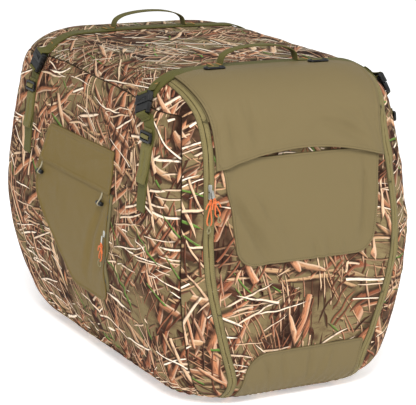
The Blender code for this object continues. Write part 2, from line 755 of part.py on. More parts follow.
def buckle_male():
    """The plug half: a bar with a webbing slot, two prongs and a guide."""
    half = BUCKLE_WIDTH / 2
    base = prism(rounded([(half, -SEAM_GAP / 2, 0.002), (-half, -SEAM_GAP / 2, 0.002),
                          (-half + 0.003, -BUCKLE_HALF_LENGTH, 0.004),
                          (half - 0.003, -BUCKLE_HALF_LENGTH, 0.004)]), "Z", 0.0, BUCKLE_THICKNESS * 0.8)
    wall = BUCKLE_WALL + FIT_CLEARANCE
    mouth = half - 2 * BUCKLE_WALL - FIT_CLEARANCE
    top = BUCKLE_THICKNESS - BUCKLE_WALL - FIT_CLEARANCE
    for low, high in ((-mouth, PRONG_WIDTH - mouth), (mouth - PRONG_WIDTH, mouth),
                      (-PRONG_WIDTH / 2, PRONG_WIDTH / 2)):
        carve(base, block((low, -0.004, wall), (high, PRONG_LENGTH - FIT_CLEARANCE, top)), "UNION")
    slot_y = -BUCKLE_HALF_LENGTH + BUCKLE_WALL
    slot = block((-STRAP_WIDTH / 2 - 0.001, slot_y, -0.01), (STRAP_WIDTH / 2 + 0.001, slot_y + WEBBING_SLOT, 0.05))
    carve(base, slot, "DIFFERENCE")
    return base


def tri_glide():
    """A flat slider with two webbing slots."""
    half, tall, thick = GLIDE_SIZE[0] / 2, GLIDE_SIZE[1] / 2, GLIDE_SIZE[2]
    plate = prism(rounded([(half, -tall, 0.004), (half, tall, 0.004), (-half, tall, 0.004),
                           (-half, -tall, 0.004)]), "Z", 0.0, thick)
    for centre in (-tall * 0.42, tall * 0.42):
        slot = block((-STRAP_WIDTH / 2 - 0.001, centre - WEBBING_SLOT / 2, -0.01),
                     (STRAP_WIDTH / 2 + 0.001, centre + WEBBING_SLOT / 2, 0.05))
        carve(plate, slot, "DIFFERENCE")
    return plate


def make_buckles():
    """A side-release buckle and a strap adjuster on each end of both roof straps."""
    parts = (("buckle_socket", buckle_female()), ("buckle_plug", buckle_male()),
             ("strap_adjuster", tri_glide()))
    for end in ("front", "rear"):
        for side, word in ((-1, "left"), (1, "right")):
            for name, source in parts:
                piece = duplicate(source, "piece")
                place_at(piece, glide_frame(end, side) if name == "strap_adjuster" else buckle_frame(end, side))
                finish_node(piece, end + "_" + word + "_" + name, plastic())
    for _, source in parts:
        bpy.data.objects.remove(source)


def buckle_frame(end, side):
    """Matrix of a buckle, which follows the slant of its strap."""
    return side_frame(side, BUCKLE_Z, BUCKLE_Y[end] - ORIGIN_Y, BUCKLE_LIFT, BUCKLE_TILT[end])


def glide_frame(end, side):
    """Matrix of a strap adjuster on the straight part of its strap."""
    centre_y = FRONT_SIDE_STRAP_Y if end == "front" else REAR_SIDE_STRAP_Y
    return side_frame(side, GLIDE_Z, centre_y - ORIGIN_Y, 2 * TOUCH_GAP + WEBBING_THICKNESS)


def handle_axis_z():
    """Height of a handle's tilting axis, which its round feet turn about."""
    return HEIGHT + 2 * TOUCH_GAP + WEBBING_THICKNESS + HANDLE_WIDTH / 2


def make_handle(name, middle):
    """A carry loop of folded webbing that stands over the roof strap."""
    foot = HEIGHT + 2 * TOUCH_GAP + WEBBING_THICKNESS
    crest = HEIGHT + HANDLE_HEIGHT
    steps = 20
    outer = []
    inner = []
    for step in range(steps + 1):
        angle = math.pi * step / steps
        shape = math.sin(angle) ** 0.62 if 0 < step < steps else 0.0
        reach = HANDLE_SPAN / 2
        outer.append((-reach * math.cos(angle), foot + (crest - foot) * shape))
        thin = HANDLE_THICKNESS
        inner.append((-(reach - thin * 1.4) * math.cos(angle), foot + (crest - foot - thin) * shape))
    half = HANDLE_WIDTH / 2
    loop = prism(outer + inner[::-1], "Y", middle - half, middle + half)
    round_foot = [(middle + half * math.cos(math.pi + math.pi * step / 12),
                   handle_axis_z() + half * math.sin(math.pi + math.pi * step / 12)) for step in range(13)]
    profile = round_foot + [(middle + half, crest + 0.01), (middle - half, crest + 0.01)]
    carve(loop, prism(profile, "X", -BESIDE, BESIDE), "INTERSECT")
    finish_node(loop, name, webbing())
    set_origin(loop, (0.0, middle, handle_axis_z()))


def make_clip(side, name):
    """A slotted plastic clip lying in front of the front strap, which holds the rolled door."""
    half, length, thick = CLIP_SIZE[0] / 2, CLIP_SIZE[1], CLIP_SIZE[2]
    back = strap_y("front", CLIP_X + CLIP_SIZE[0] / 2) - STRAP_WIDTH / 2 - 0.001
    front = back - length
    low = HEIGHT + TOUCH_GAP * 2
    plate = prism(rounded([(half, front, 0.006), (half, back, 0.003), (-half, back, 0.003),
                           (-half, front, 0.006)]), "Z", low, low + thick)
    slot_half, slot_length = CLIP_SLOT[0] / 2, CLIP_SLOT[1]
    middle = (front + back) / 2
    carve(plate, block((-slot_half, middle - slot_length / 2, 0.0), (slot_half, middle + slot_length / 2, 1.0)),
          "DIFFERENCE")
    plate.data.transform(Matrix.Translation((side * CLIP_X, 0.0, 0.0)))
    finish_node(plate, name, plastic())
    set_origin(plate, (side * CLIP_X, back - thick / 2, low + thick / 2))


def slider(width, length, thickness):
    """A zip slider's body with a raised bridge for its pull."""
    body = prism(rounded([(width / 2, length / 2, 0.003), (-width / 2, length / 2, 0.003),
                          (-width / 3, -length / 2, 0.001), (width / 3, -length / 2, 0.001)]), "Z",
                 0.0, thickness * 0.6)
    carve(body, block((-width * 0.14, -length * 0.3, thickness * 0.2), (width * 0.14, length * 0.2, thickness)),
          "UNION")
    return body


def pull_loop(name, frame, length, lift, finish):
    """A knotted cord pull: a long closed loop hanging from its slider."""
    curve = bpy.data.curves.new(name, "CURVE")
    curve.dimensions = "3D"
    curve.bevel_depth = CORD_RADIUS
    curve.bevel_resolution = 2
    points = []
    half = PULL_HALF_WIDTH
    for step in range(7):
        angle = math.pi * step / 6
        points.append((half * 0.4 * math.cos(angle), half * 0.4 * math.sin(angle)))
    for step in range(7):
        angle = math.pi + math.pi * step / 6
        points.append((half * math.cos(angle), -length + half + half * math.sin(angle)))
    spline = curve.splines.new("POLY")
    spline.points.add(len(points) - 1)
    for point, (u, v) in zip(spline.points, points):
        point.co = (u, v, lift, 1.0)
    spline.use_cyclic_u = True
    source = bpy.data.objects.new("source", curve)
    bpy.context.scene.collection.objects.link(source)
    made = bpy.data.objects.new(name, evaluated_copy(source))
    bpy.context.scene.collection.objects.link(made)
    bpy.data.objects.remove(source)
    place_at(made, frame)
    return finish_node(made, name, finish)


def wall_frame(place, up, out):
    """Matrix at a place on a wall, with Y up along it and Z outwards."""
    up = Vector(up).normalized()
    out = Vector(out)
    out = (out - up * out.dot(up)).normalized()
    frame = Matrix.Identity(4)
    for index, direction in enumerate((up.cross(out), up, out, Vector(place))):
        frame.col[index][:3] = direction
    return frame


def make_door_zip_sliders():
    """Two sliders head to head on the left door zip, each with a cord pull."""
    z_high, z_low = 0.50, 0.36
    top = Vector((-door_half(z_high), front_surface_y(door_half(z_high), z_high), z_high))
    low = Vector((-door_half(z_low), front_surface_y(door_half(z_low), z_low), z_low))
    lift = 2 * TOUCH_GAP + LAYER_THICKNESS + 0.0008
    for name, height, turn in (("upper", DOOR_SLIDER_Z[0], 1), ("lower", DOOR_SLIDER_Z[1], -1)):
        half = door_half(height)
        place = Vector((-half, front_surface_y(half, height), height))
        frame = wall_frame(place, top - low, (0.0, -1.0, 0.0))
        body = slider(*SLIDER_SIZE)
        body.data.transform(Matrix.Scale(turn, 4, (0, 1, 0)))
        if turn < 0:
            body.data.flip_normals()
        place_at(body, frame @ Matrix.Translation((0.0, 0.0, lift)))
        finish_node(body, "door_" + name + "_zip_slider", material("zip_metal", (0.35, 0.36, 0.33), 0.35, 0.9))
        hang = frame @ Matrix.Translation((0.0, -SLIDER_SIZE[1] * 0.5 * turn, 0.0))
        swing = Matrix.Rotation(math.radians(24 if turn > 0 else -14), 4, "Z")
        drop = PULL_LENGTH if turn > 0 else PULL_LENGTH * 0.8
        height_off = lift + SLIDER_SIZE[2] + CORD_RADIUS + TOUCH_GAP + (0.0040 if turn > 0 else 0.0)
        pull = pull_loop("door_" + name + "_zip_pull", hang @ swing, drop, height_off,
                         material("orange_cord", ORANGE, 0.6))
        set_origin(pull, hang @ Vector((0.0, 0.0, height_off)))


def flap_edge_y(height):
    """Y of the flap's front edge at a height."""
    share = (HEM_LINE_Z - height) / (HEM_LINE_Z - FLAP_BOTTOM_Z)
    return WINDOW_FRONT_Y + (FLAP_TOE_Y - WINDOW_FRONT_Y) * share - ORIGIN_Y


def make_window_hardware(side, name):
    """The flap's zip slider and pull, and two barrel toggles on elastic loops."""
    lift = 2 * TOUCH_GAP + LAYER_THICKNESS
    height = FLAP_SLIDER_Z
    place = Vector((side * wall_x(height), flap_edge_y(height) + SLIDER_SIZE[0] * 0.6, height))
    up = Vector((side * (wall_x(height + 0.05) - wall_x(height - 0.05)),
                 flap_edge_y(height + 0.05) - flap_edge_y(height - 0.05), 0.1))
    frame = wall_frame(place, up, (side, 0.0, 0.0))
    body = slider(*SLIDER_SIZE)
    place_at(body, frame @ Matrix.Translation((0.0, 0.0, lift)))
    finish_node(body, name + "_flap_zip_slider", material("zip_metal", (0.35, 0.36, 0.33), 0.35, 0.9))
    hang = frame @ Matrix.Translation((0.0, -SLIDER_SIZE[1] * 0.5, lift + SLIDER_SIZE[2] + CORD_RADIUS + TOUCH_GAP))
    pull = pull_loop(name + "_flap_zip_pull", hang, PULL_LENGTH, 0.0, material("orange_cord", ORANGE, 0.6))
    set_origin(pull, hang.translation)

    front_y_place = WINDOW_FRONT_Y + TOGGLE_INSET[0] - ORIGIN_Y
    rear_y_place = FLAP_REAR_Y - TOGGLE_INSET[1] - ORIGIN_Y
    for word, y in (("front", front_y_place), ("rear", rear_y_place)):
        anchor_z = HEM_LINE_Z - 0.006
        toggle_z = anchor_z - TOGGLE_DROP
        clear = lift + TOGGLE_RADIUS + TOUCH_GAP
        centre = Vector((side * wall_x(toggle_z, clear), y, toggle_z))
        steps = 10
        ring_points = [(TOGGLE_RADIUS * math.cos(2 * math.pi * s / steps),
                        TOGGLE_RADIUS * math.sin(2 * math.pi * s / steps)) for s in range(steps)]
        barrel = prism(ring_points, "Y", -TOGGLE_LENGTH / 2, TOGGLE_LENGTH / 2)
        barrel.data.transform(Matrix.Translation(centre))
        finish_node(barrel, name + "_" + word + "_toggle", plastic())
        pivot = Vector((side * wall_x(anchor_z, clear), y, anchor_z))
        set_origin(barrel, pivot)
        make_elastic_loop(name + "_" + word + "_toggle_loop", pivot, centre)


def make_elastic_loop(name, pivot, centre):
    """The short elastic between the flap's top seam and its toggle."""
    curve = bpy.data.curves.new(name, "CURVE")
    curve.dimensions = "3D"
    curve.bevel_depth = ELASTIC_RADIUS
    curve.bevel_resolution = 2
    curve.use_fill_caps = True
    down = (centre - pivot).normalized()
    end = centre - down * (TOGGLE_RADIUS + TOUCH_GAP)
    spline = curve.splines.new("POLY")
    spline.points.add(4)
    for index, point in enumerate(spline.points):
        point.co = (*(pivot.lerp(end, index / 4) - pivot), 1.0)
    made = bpy.data.objects.new(name, curve)
    bpy.context.scene.collection.objects.link(made)
    made.location = pivot
    curve.materials.append(material("elastic", (0.05, 0.05, 0.05), 0.8))


def clear_scene():
    for thing in list(bpy.data.objects):
        bpy.data.objects.remove(thing)


def build():
    clear_scene()
    make_shell_panels()
    make_hem_elastic()
    make_front_layers()
    for side, name in ((-1, "left"), (1, "right")):
        make_window(side, name)
        make_window_hardware(side, name)
        make_clip(side, name + "_roof_clip")
    make_straps()
    make_buckles()
    make_handle("front_handle", strap_y("front", 0.0))
    make_handle("rear_handle", strap_y("rear", 0.0))
    make_door_zip_sliders()


build()
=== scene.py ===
import json
import math

import bmesh
import bpy
import numpy as np
from mathutils import Matrix, Vector
from mathutils.kdtree import KDTree

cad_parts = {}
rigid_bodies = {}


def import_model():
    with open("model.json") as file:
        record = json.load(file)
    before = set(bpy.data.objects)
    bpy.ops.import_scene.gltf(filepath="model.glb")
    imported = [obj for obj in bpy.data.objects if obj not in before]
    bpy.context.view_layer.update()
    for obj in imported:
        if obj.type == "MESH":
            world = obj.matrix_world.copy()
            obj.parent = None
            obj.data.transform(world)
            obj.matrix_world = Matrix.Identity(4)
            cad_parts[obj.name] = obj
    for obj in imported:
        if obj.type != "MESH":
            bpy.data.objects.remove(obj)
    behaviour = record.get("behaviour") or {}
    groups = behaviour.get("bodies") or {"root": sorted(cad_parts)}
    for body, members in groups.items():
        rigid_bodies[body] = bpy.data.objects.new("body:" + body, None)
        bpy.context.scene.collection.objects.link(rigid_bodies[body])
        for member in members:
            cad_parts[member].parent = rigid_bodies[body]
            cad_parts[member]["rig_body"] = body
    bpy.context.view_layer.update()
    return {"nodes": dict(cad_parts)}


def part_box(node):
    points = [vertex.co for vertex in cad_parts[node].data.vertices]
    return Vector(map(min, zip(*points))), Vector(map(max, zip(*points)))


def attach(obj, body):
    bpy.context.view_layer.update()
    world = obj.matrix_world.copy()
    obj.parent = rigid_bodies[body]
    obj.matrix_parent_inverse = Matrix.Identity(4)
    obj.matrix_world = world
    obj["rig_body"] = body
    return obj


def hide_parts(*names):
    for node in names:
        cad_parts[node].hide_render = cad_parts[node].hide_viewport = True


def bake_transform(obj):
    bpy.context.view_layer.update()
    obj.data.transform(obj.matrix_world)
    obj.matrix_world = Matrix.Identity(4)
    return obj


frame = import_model()

# ---------------------------------------------------------------- camera, light and floor

CAMERA_PLACE, CAMERA_LENS = (-1.726, -3.1205, 1.22), 153.2
CAMERA_YAW, CAMERA_PITCH, CAMERA_ROLL = 29.31, 14.62, 1.63
LIGHTS = (("key", (-1.6, -2.6, 3.4), 1.6, 150.0), ("fill", (2.6, -2.0, 2.2), 2.6, 36.0))
LIGHT_AIM = Vector((0, 0, 0.3))
WORLD_LIGHT, FLOOR_GLOW = 0.62, 0.42


def show(name, data):
    """A new object in the scene."""
    made = bpy.data.objects.new(name, data)
    bpy.context.scene.collection.objects.link(made)
    return made


def from_axes(*columns):
    """A matrix from its three axes and its place."""
    made = Matrix.Identity(4)
    for index, direction in enumerate(columns):
        made.col[index][:3] = direction
    return made


def make_camera():
    yaw, pitch, roll = (math.radians(v) for v in (CAMERA_YAW, CAMERA_PITCH, CAMERA_ROLL))
    ahead = Vector((math.sin(yaw) * math.cos(pitch), math.cos(yaw) * math.cos(pitch), -math.sin(pitch)))
    right = Vector((math.cos(yaw), -math.sin(yaw), 0.0))
    up = right.cross(ahead)
    level = right * math.cos(roll) + up * math.sin(roll)
    upright = up * math.cos(roll) - right * math.sin(roll)
    camera = show("camera", bpy.data.cameras.new("camera"))
    camera.data.sensor_width, camera.data.lens, camera.data.clip_end = 36.0, CAMERA_LENS, 60.0
    camera.matrix_world = from_axes(level, upright, -ahead, Vector(CAMERA_PLACE))
    bpy.context.scene.camera = camera


def make_stage():
    scene = bpy.context.scene
    scene.view_settings.view_transform = "Standard"
    scene.world = bpy.data.worlds.new("studio")
    scene.world.use_nodes = True
    tree = scene.world.node_tree
    backdrop = tree.nodes["Background"]
    backdrop.inputs["Color"].default_value = (1, 1, 1, 1)
    # The backdrop looks white, but lights the object a little less.
    rays, strength = tree.nodes.new("ShaderNodeLightPath"), tree.nodes.new("ShaderNodeMapRange")
    strength.inputs["To Min"].default_value = WORLD_LIGHT
    tree.links.new(rays.outputs["Is Camera Ray"], strength.inputs["Value"])
    tree.links.new(strength.outputs["Result"], backdrop.inputs["Strength"])
    for name, place, size, power in LIGHTS:
        lamp = bpy.data.lights.new(name, "AREA")
        lamp.shape, lamp.size, lamp.energy = "DISK", size, power
        made = show(name, lamp)
        made.location = place
        made.rotation_euler = (Vector(place) - LIGHT_AIM).to_track_quat("Z", "Y").to_euler()
    bpy.ops.mesh.primitive_plane_add(size=40.0, location=(0, 0, -0.0005))
    floor = bpy.context.object
    floor.name = "floor"
    white = bpy.data.materials.new("floor_white")
    white.use_nodes = True
    for key, value in (("Base Color", (0.96, 0.96, 0.96, 1)), ("Roughness", 0.9),
                       ("Emission Color", (1, 1, 1, 1)), ("Emission Strength", FLOOR_GLOW)):
        white.node_tree.nodes["Principled BSDF"].inputs[key].default_value = value
    floor.data.materials.append(white)


make_camera()
make_stage()

# ---------------------------------------------------------------- sizes, as in the part's source

WIDTH, DEPTH, HEIGHT, WIDEST_Z = 0.567, 0.855, 0.620, 0.277
CORNER_RADIUS, TOP_ROUND, HEM_ROUND, HEM_TURN = 0.115, 0.071, 0.059, 0.015
SIDE_LEAN, FRONT_LEAN, BACK_LEAN = (0.033, 0.059), (0.074, 0.019), (0.050, 0.100)
LEAN_POWER = (1.7, 1.9)
CORNER_TIGHTENING = 0.3
PANEL, LAYER, GAP = 0.010, 0.0016, 0.0005
SEAM_Z = HEIGHT - TOP_ROUND
ORIGIN_Y = DEPTH / 2
STRAP_WIDTH = 0.032
STRAP_PATH_X = (0.060, 0.120, 0.170, 0.210, 0.236, 0.256, 0.270)
STRAP_PATH_Y = {"front": (0.205, 0.197, 0.184, 0.177, 0.173, 0.165, 0.156),
                "rear": (0.668, 0.660, 0.650, 0.643, 0.644, 0.650, 0.657)}
SIDE_STRAP_Y = {"front": (0.139, 0.154), "rear": (0.669, 0.659)}
ROOF_STRAP_END_Z, SIDE_STRAP_TOP_Z, SIDE_STRAP_BEND_Z, SIDE_STRAP_END_Z = 0.580, 0.552, 0.516, 0.370
SEAM_LINE_Y = (0.060, 0.130, 0.241, 0.308, 0.434, 0.549, 0.780)
SEAM_LINE_Z = (0.555, 0.560, 0.572, 0.575, 0.578, 0.582, 0.575)
DOOR_EDGE_Z = (-0.030, 0.055, 0.126, 0.200, 0.270, 0.330, 0.360, 0.430, 0.500, 0.560, 0.620, 0.660)
DOOR_EDGE_X = (0.130, 0.143, 0.166, 0.187, 0.202, 0.2055, 0.2035, 0.1985, 0.1935, 0.198, 0.2155, 0.225)
LIP_LOW_Z, DOOR_CUTS = 0.549, (0.410, 0.195)
TAPE_WIDTH, TAPE_LOW_Z, ZIP_GAP = 0.0090, 0.012, 0.0005
FLAP_HEM_TOP, FLAP_HEM_SAG, FLAP_INSET = 0.492, 0.030, 0.012
PATCH_BOTTOM, PATCH_HALF_TOP, PATCH_HALF_BOTTOM, PATCH_CORNER, PATCH_TUCK = 0.282, 0.173, 0.147, 0.040, 0.020
KICK_TOP, KICK_BOTTOM, KICK_LEFT, KICK_CORNER, KICK_INSET = 0.106, 0.016, 0.128, 0.050, 0.013
HEM_LINE_Z, BAND_TOP_Z, FLAP_BOTTOM_Z = 0.375, 0.456, 0.145
WINDOW_FRONT_Y, BAND_REAR_Y, FLAP_REAR_Y, FLAP_TOE_Y, FLAP_HEEL_Y = (
    y - ORIGIN_Y for y in (0.262, 0.585, 0.612, 0.288, 0.440))
WINDOW_LAP, SCREEN_LAP = 0.022, 0.012
TAIL_LOW, TAIL_HIGH = 0.424, 0.500
BUCKLE_Z, GLIDE_Z, HARDWARE_LIFT = 0.566, 0.511, 0.0030
BUCKLE_Y = {"front": 0.165 - ORIGIN_Y, "rear": 0.650 - ORIGIN_Y}
BUCKLE_TILT = {"front": 24, "rear": -15}
HANDLE_SPAN, HANDLE_HEIGHT, HANDLE_WIDTH, HANDLE_FOOT = 0.166, 0.038, 0.022, 0.024
CLIP_X, CLIP_LENGTH, CLIP_WIDTH, CLIP_LIFT, CLIP_TILT = 0.115, 0.018, 0.044, 0.0042, 1
CORD_RADIUS, ELASTIC_RADIUS, THREAD_RADIUS = 0.00125, 0.0009, 0.00042
MOULDED_ROUND, SLIDER_ROUND = 0.0006, 0.0003
SIDE_NAMES = ((-1, "left"), (1, "right"))
TURN = 2 * math.pi

# ---------------------------------------------------------------- the body's surface

T_HEM = HEM_TURN
T_WALL = T_HEM + HEM_ROUND * math.pi / 2
T_SEAM = T_WALL + SEAM_Z - HEM_ROUND
T_ROOF = T_SEAM + TOP_ROUND * math.pi / 2
SPACING = 0.006
ON_LINE = 0.0002  # a point this near a cut lies on it
FAR = 0.05  # the edge column's value where no edge is near
FRONT_SEAM, REAR_SEAM = 1.5, 3.5  # ring places of the seams in the middle of the corners
# The table's columns: place, normal, place on the flat cloth, ring and section places, plan, shell and edge.
X, Y, Z, NX, NY, NZ, U, V, Q, T, RU, RV, OUT, IN, EDGE = range(15)


def smooth(low, high, value):
    t = np.clip((value - low) / (high - low), 0, 1)
    return t * t * (3 - 2 * t)


def lean(z, amounts):
    """How far a wall leans in at heights z."""
    up = np.clip((z - WIDEST_Z) / (HEIGHT - WIDEST_Z), 0, None) ** LEAN_POWER[0] * amounts[0]
    return up + np.clip((WIDEST_Z - z) / WIDEST_Z, 0, None) ** LEAN_POWER[1] * amounts[1]


def profile(t):
    """Height, inset and normal angle at distances t up the body's section from the hem's inner edge."""
    hem = np.clip((t - T_HEM) / HEM_ROUND, 0, math.pi / 2) - math.pi / 2
    top = np.clip((t - T_SEAM) / TOP_ROUND, 0, math.pi / 2)
    z = HEM_ROUND * (1 + np.sin(hem)) + np.clip(t - T_WALL, 0, T_SEAM - T_WALL) + TOP_ROUND * np.sin(top)
    inset = HEM_ROUND * (1 - np.cos(hem)) + np.clip(T_HEM - t, 0, None) + TOP_ROUND * (1 - np.cos(top))
    return z, inset, hem + top


def surface(q, t):
    """Rows of the data table at ring places q and section places t.

    q counts the ring's pieces from the middle of the front: 1 ends the front's straight, 2 the corner,
    3 the side, 4 the rear corner and 5 is the middle of the rear. Negative q is the left half.
    """
    z, inset, angle = profile(t)
    front_part, front_turn, side_part, rear_turn, rear_part = (np.clip(np.abs(q) - k, 0, 1) for k in range(5))
    half = WIDTH / 2 - lean(z, SIDE_LEAN) - inset
    front = lean(z, FRONT_LEAN) + inset - ORIGIN_Y
    back = DEPTH - lean(z, BACK_LEAN) - inset - ORIGIN_Y
    r = CORNER_RADIUS - CORNER_TIGHTENING * inset
    k, m = front_turn * math.pi / 2, rear_turn * math.pi / 2
    side = np.sign(q)
    x = ((half - r) * (front_part - rear_part) + r * (np.sin(k) - 1 + np.cos(m))) * side
    y = front + r * (1 - np.cos(k)) + (back - front - 2 * r) * side_part + r * np.sin(m)
    hx, hy = side * np.sin(k + m), -np.cos(k + m)
    u = ((WIDTH / 2 - CORNER_RADIUS) * (front_part + rear_part) + CORNER_RADIUS * (k + m)
         + (DEPTH - 2 * CORNER_RADIUS) * side_part) * side
    return np.stack([x, y, z, hx * np.cos(angle), hy * np.cos(angle), np.sin(angle), u, t, q, t,
                     x + hx * (T_ROOF - t), y + hy * (T_ROOF - t), 0 * t, 0 * t, 0 * t], -1)


def whole_body():
    """The data table and faces of the whole outer surface, as an even grid."""
    def steps(length, even=1):
        return max(even, int(round(length / SPACING / even)) * even)

    straight, corner = steps(WIDTH / 2 - CORNER_RADIUS), steps(CORNER_RADIUS * math.pi / 2, 2)
    sides = steps(DEPTH - 2 * CORNER_RADIUS)
    right = np.concatenate([np.arange(n) / n + start for start, n in
                            enumerate((straight, corner, sides, corner, straight))])
    q = np.concatenate([-right[:0:-1], right, [5.0]])
    t = [0.0]
    for end in (T_HEM, T_WALL, T_SEAM, T_ROOF):
        count = steps(end - t[-1])
        t += [t[-1] + (end - t[-1]) * (i + 1) / count for i in range(count)]
    columns, rows = len(q), len(t)
    grid = surface(np.tile(q, rows), np.repeat(np.array(t), columns))
    index = np.arange(rows * columns).reshape(rows, columns)
    after = np.roll(index, -1, axis=1)
    walls = np.stack([index[:-1], after[:-1], after[1:], index[1:]], -1)

    # The roof's rows run from the left edge to the right one, and share the walls' top points.
    across = 2 * straight
    edge_q = right[straight:straight + 2 * corner + sides + 1]
    roof = np.zeros((len(edge_q), across + 1), int)
    place = {round(float(value), 9): (rows - 1) * columns + i for i, value in enumerate(q)}
    extra = []
    for j, value in enumerate(edge_q):
        left_end, right_end = place[round(-float(value), 9)], place[round(float(value), 9)]
        for i in range(across + 1):
            share = i / across
            if i in (0, across):
                roof[j, i] = (left_end, right_end)[i > 0]
            elif j == 0:
                roof[j, i] = place[round(2 * share - 1, 9)]
            elif j == len(edge_q) - 1:
                back = 5 - abs(1 - 2 * share)
                roof[j, i] = place[round(math.copysign(back, share - 0.5) if back < 5 else 5.0, 9)]
            else:
                row = grid[left_end] * (1 - share) + grid[right_end] * share
                row[NX:NZ + 1], row[T] = (0, 0, 1), T_ROOF + 0.01
                row[RU], row[RV] = row[X], row[Y]
                roof[j, i] = rows * columns + len(extra)
                extra.append(row)
    top = np.stack([roof[:-1, :-1], roof[:-1, 1:], roof[1:, 1:], roof[1:, :-1]], -1)
    return np.vstack([grid, np.array(extra)]), np.vstack([walls.reshape(-1, 4), top.reshape(-1, 4)])


BODY, BODY_FACES = whole_body()


def strap_y(word, x):
    """Y of a roof strap's centre line at distances x from the middle."""
    return np.interp(np.abs(x), STRAP_PATH_X, STRAP_PATH_Y[word]) - ORIGIN_Y


def side_strap_y(word, z):
    """Y of a side strap's centre line at heights z: straight, then slanted up to the buckle."""
    return np.interp(z, (SIDE_STRAP_BEND_Z, SIDE_STRAP_TOP_Z), SIDE_STRAP_Y[word]) - ORIGIN_Y


def strap_distance(word, d):
    """Distance in y of the table's points from a strap's centre line, over the roof and down the sides."""
    down = smooth(SIDE_STRAP_TOP_Z + 0.012, SIDE_STRAP_TOP_Z, d[:, Z])
    return np.abs(d[:, Y] - strap_y(word, d[:, X]) * (1 - down) - side_strap_y(word, d[:, Z]) * down)


def over_seam(d):
    """Positive above the seam between the roof and the walls, which rises towards the rear."""
    return d[:, Z] - np.interp(d[:, Y] + ORIGIN_Y, SEAM_LINE_Y, SEAM_LINE_Z)


def door_half(z):
    """Half width of the doorway at heights z, by a smooth curve through its edge's points."""
    heights, widths = np.array(DOOR_EDGE_Z), np.array(DOOR_EDGE_X)
    z = np.clip(z, heights[1], heights[-2])
    i = np.clip(np.searchsorted(heights, z, side="right") - 1, 1, len(heights) - 3)
    slope = lambda n: (widths[n + 1] - widths[n - 1]) / (heights[n + 1] - heights[n - 1])
    span = heights[i + 1] - heights[i]
    t = (z - heights[i]) / span
    return ((2 * t ** 3 - 3 * t ** 2 + 1) * widths[i] + (t ** 3 - 2 * t ** 2 + t) * span * slope(i)
            + (3 * t ** 2 - 2 * t ** 3) * widths[i + 1] + (t ** 3 - t ** 2) * span * slope(i + 1))


def rounded(corners, steps=10):
    """An outline of (u, v, radius) corners with each corner's arc filled in."""
    points = []
    for index, (u, v, radius) in enumerate(corners):
        if radius == 0:
            points.append((u, v))
            continue
        here = Vector((u, v))
        before = (Vector(corners[index - 1][:2]) - here).normalized()
        after = (Vector(corners[(index + 1) % len(corners)][:2]) - here).normalized()
        turn = before.angle(after) / 2
        centre = here + (before + after).normalized() * radius / math.sin(turn)
        first, last = (here + way * radius / math.tan(turn) - centre for way in (before, after))
        bend = first.angle_signed(last)
        points += [tuple(centre + Matrix.Rotation(-bend * s / steps, 2) @ first) for s in range(steps + 1)]
    return points


def outline_distance(outline, u, v):
    """Signed distance of points (u, v) to a closed outline, negative inside."""
    p = np.stack([u, v], -1)
    best = np.full(len(p), 1e9)
    inside = np.zeros(len(p), bool)
    for a, b in zip(outline, outline[1:] + outline[:1]):
        a, b = np.array(a), np.array(b)
        d = b - a
        if d @ d < 1e-16:
            continue
        s = np.clip(((p - a) @ d) / (d @ d), 0, 1)
        best = np.minimum(best, np.linalg.norm(p - a - s[:, None] * d, axis=1))
        crosses = (a[1] > p[:, 1]) != (b[1] > p[:, 1])
        at = a[0] + (p[:, 1] - a[1]) * d[0] / (d[1] if abs(d[1]) > 1e-15 else 1e-15)
        inside ^= crosses & (p[:, 0] < at)
    return np.where(inside, -best, best)


def window_outline(shrink=0.0):
    """Outline (y, z) of the window flap, from its hem line down, shrunk all round."""
    front, rear, top, low = (WINDOW_FRONT_Y + shrink, FLAP_REAR_Y - shrink, HEM_LINE_Z - shrink,
                             FLAP_BOTTOM_Z + shrink)
    return rounded([(front, top, 0.004 + shrink / 2), (FLAP_TOE_Y + shrink, low, 0.030),
                    (FLAP_HEEL_Y - shrink / 2, low, 0.060), (rear, HEM_LINE_Z - 0.072, 0.060),
                    (rear - 0.010, top, 0.004 + shrink / 2)])


def band_outline():
    """Outline (y, z) of the band above the window's hem line."""
    rear, low = FLAP_REAR_Y - 0.014, HEM_LINE_Z - 0.004
    return rounded([(WINDOW_FRONT_Y, low, 0.003), (rear, low, 0.003),
                    (BAND_REAR_Y - 0.020, BAND_TOP_Z, 0.030), (WINDOW_FRONT_Y + 0.002, BAND_TOP_Z, 0.006)], 8)


# ---------------------------------------------------------------- cutting cloth


def only_used(data, faces):
    """The table's rows that the faces use, and the faces with their new numbers."""
    used = np.unique(np.concatenate([np.array(f) for f in faces])) if len(faces) else np.array([], int)
    renumber = np.full(len(data), -1)
    renumber[used] = np.arange(len(used))
    return data[used], [tuple(int(renumber[i]) for i in f) for f in faces]


def cut(data, faces, values, keep=0):
    """Split faces along values = 0. keep -1 or 1 keeps that side only, 0 keeps both."""
    sign = np.where(np.abs(values) < ON_LINE, 0, np.sign(values)).astype(int)
    extra, made, kept = [], {}, []
    for face in faces:
        s = [sign[i] for i in face]
        if min(s) >= 0 or max(s) <= 0:
            if keep == 0 or keep * sum(s) > 0:
                kept.append(tuple(face))
            continue
        halves = {1: [], -1: []}
        for i, j, a, b in zip(face, (*face[1:], face[0]), s, (*s[1:], s[0])):
            for part in (1, -1):
                if a in (part, 0):
                    halves[part].append(i)
            if a * b < 0:
                key = (min(i, j), max(i, j))
                if key not in made:
                    share = values[i] / (values[i] - values[j])
                    made[key] = len(data) + len(extra)
                    extra.append(data[i] * (1 - share) + data[j] * share)
                for part in (1, -1):
                    halves[part].append(made[key])
        kept += [tuple(halves[part]) for part in (1, -1) if keep in (0, part) and len(halves[part]) > 2]
    return only_used(np.vstack([data, np.array(extra)]) if extra else data, kept)


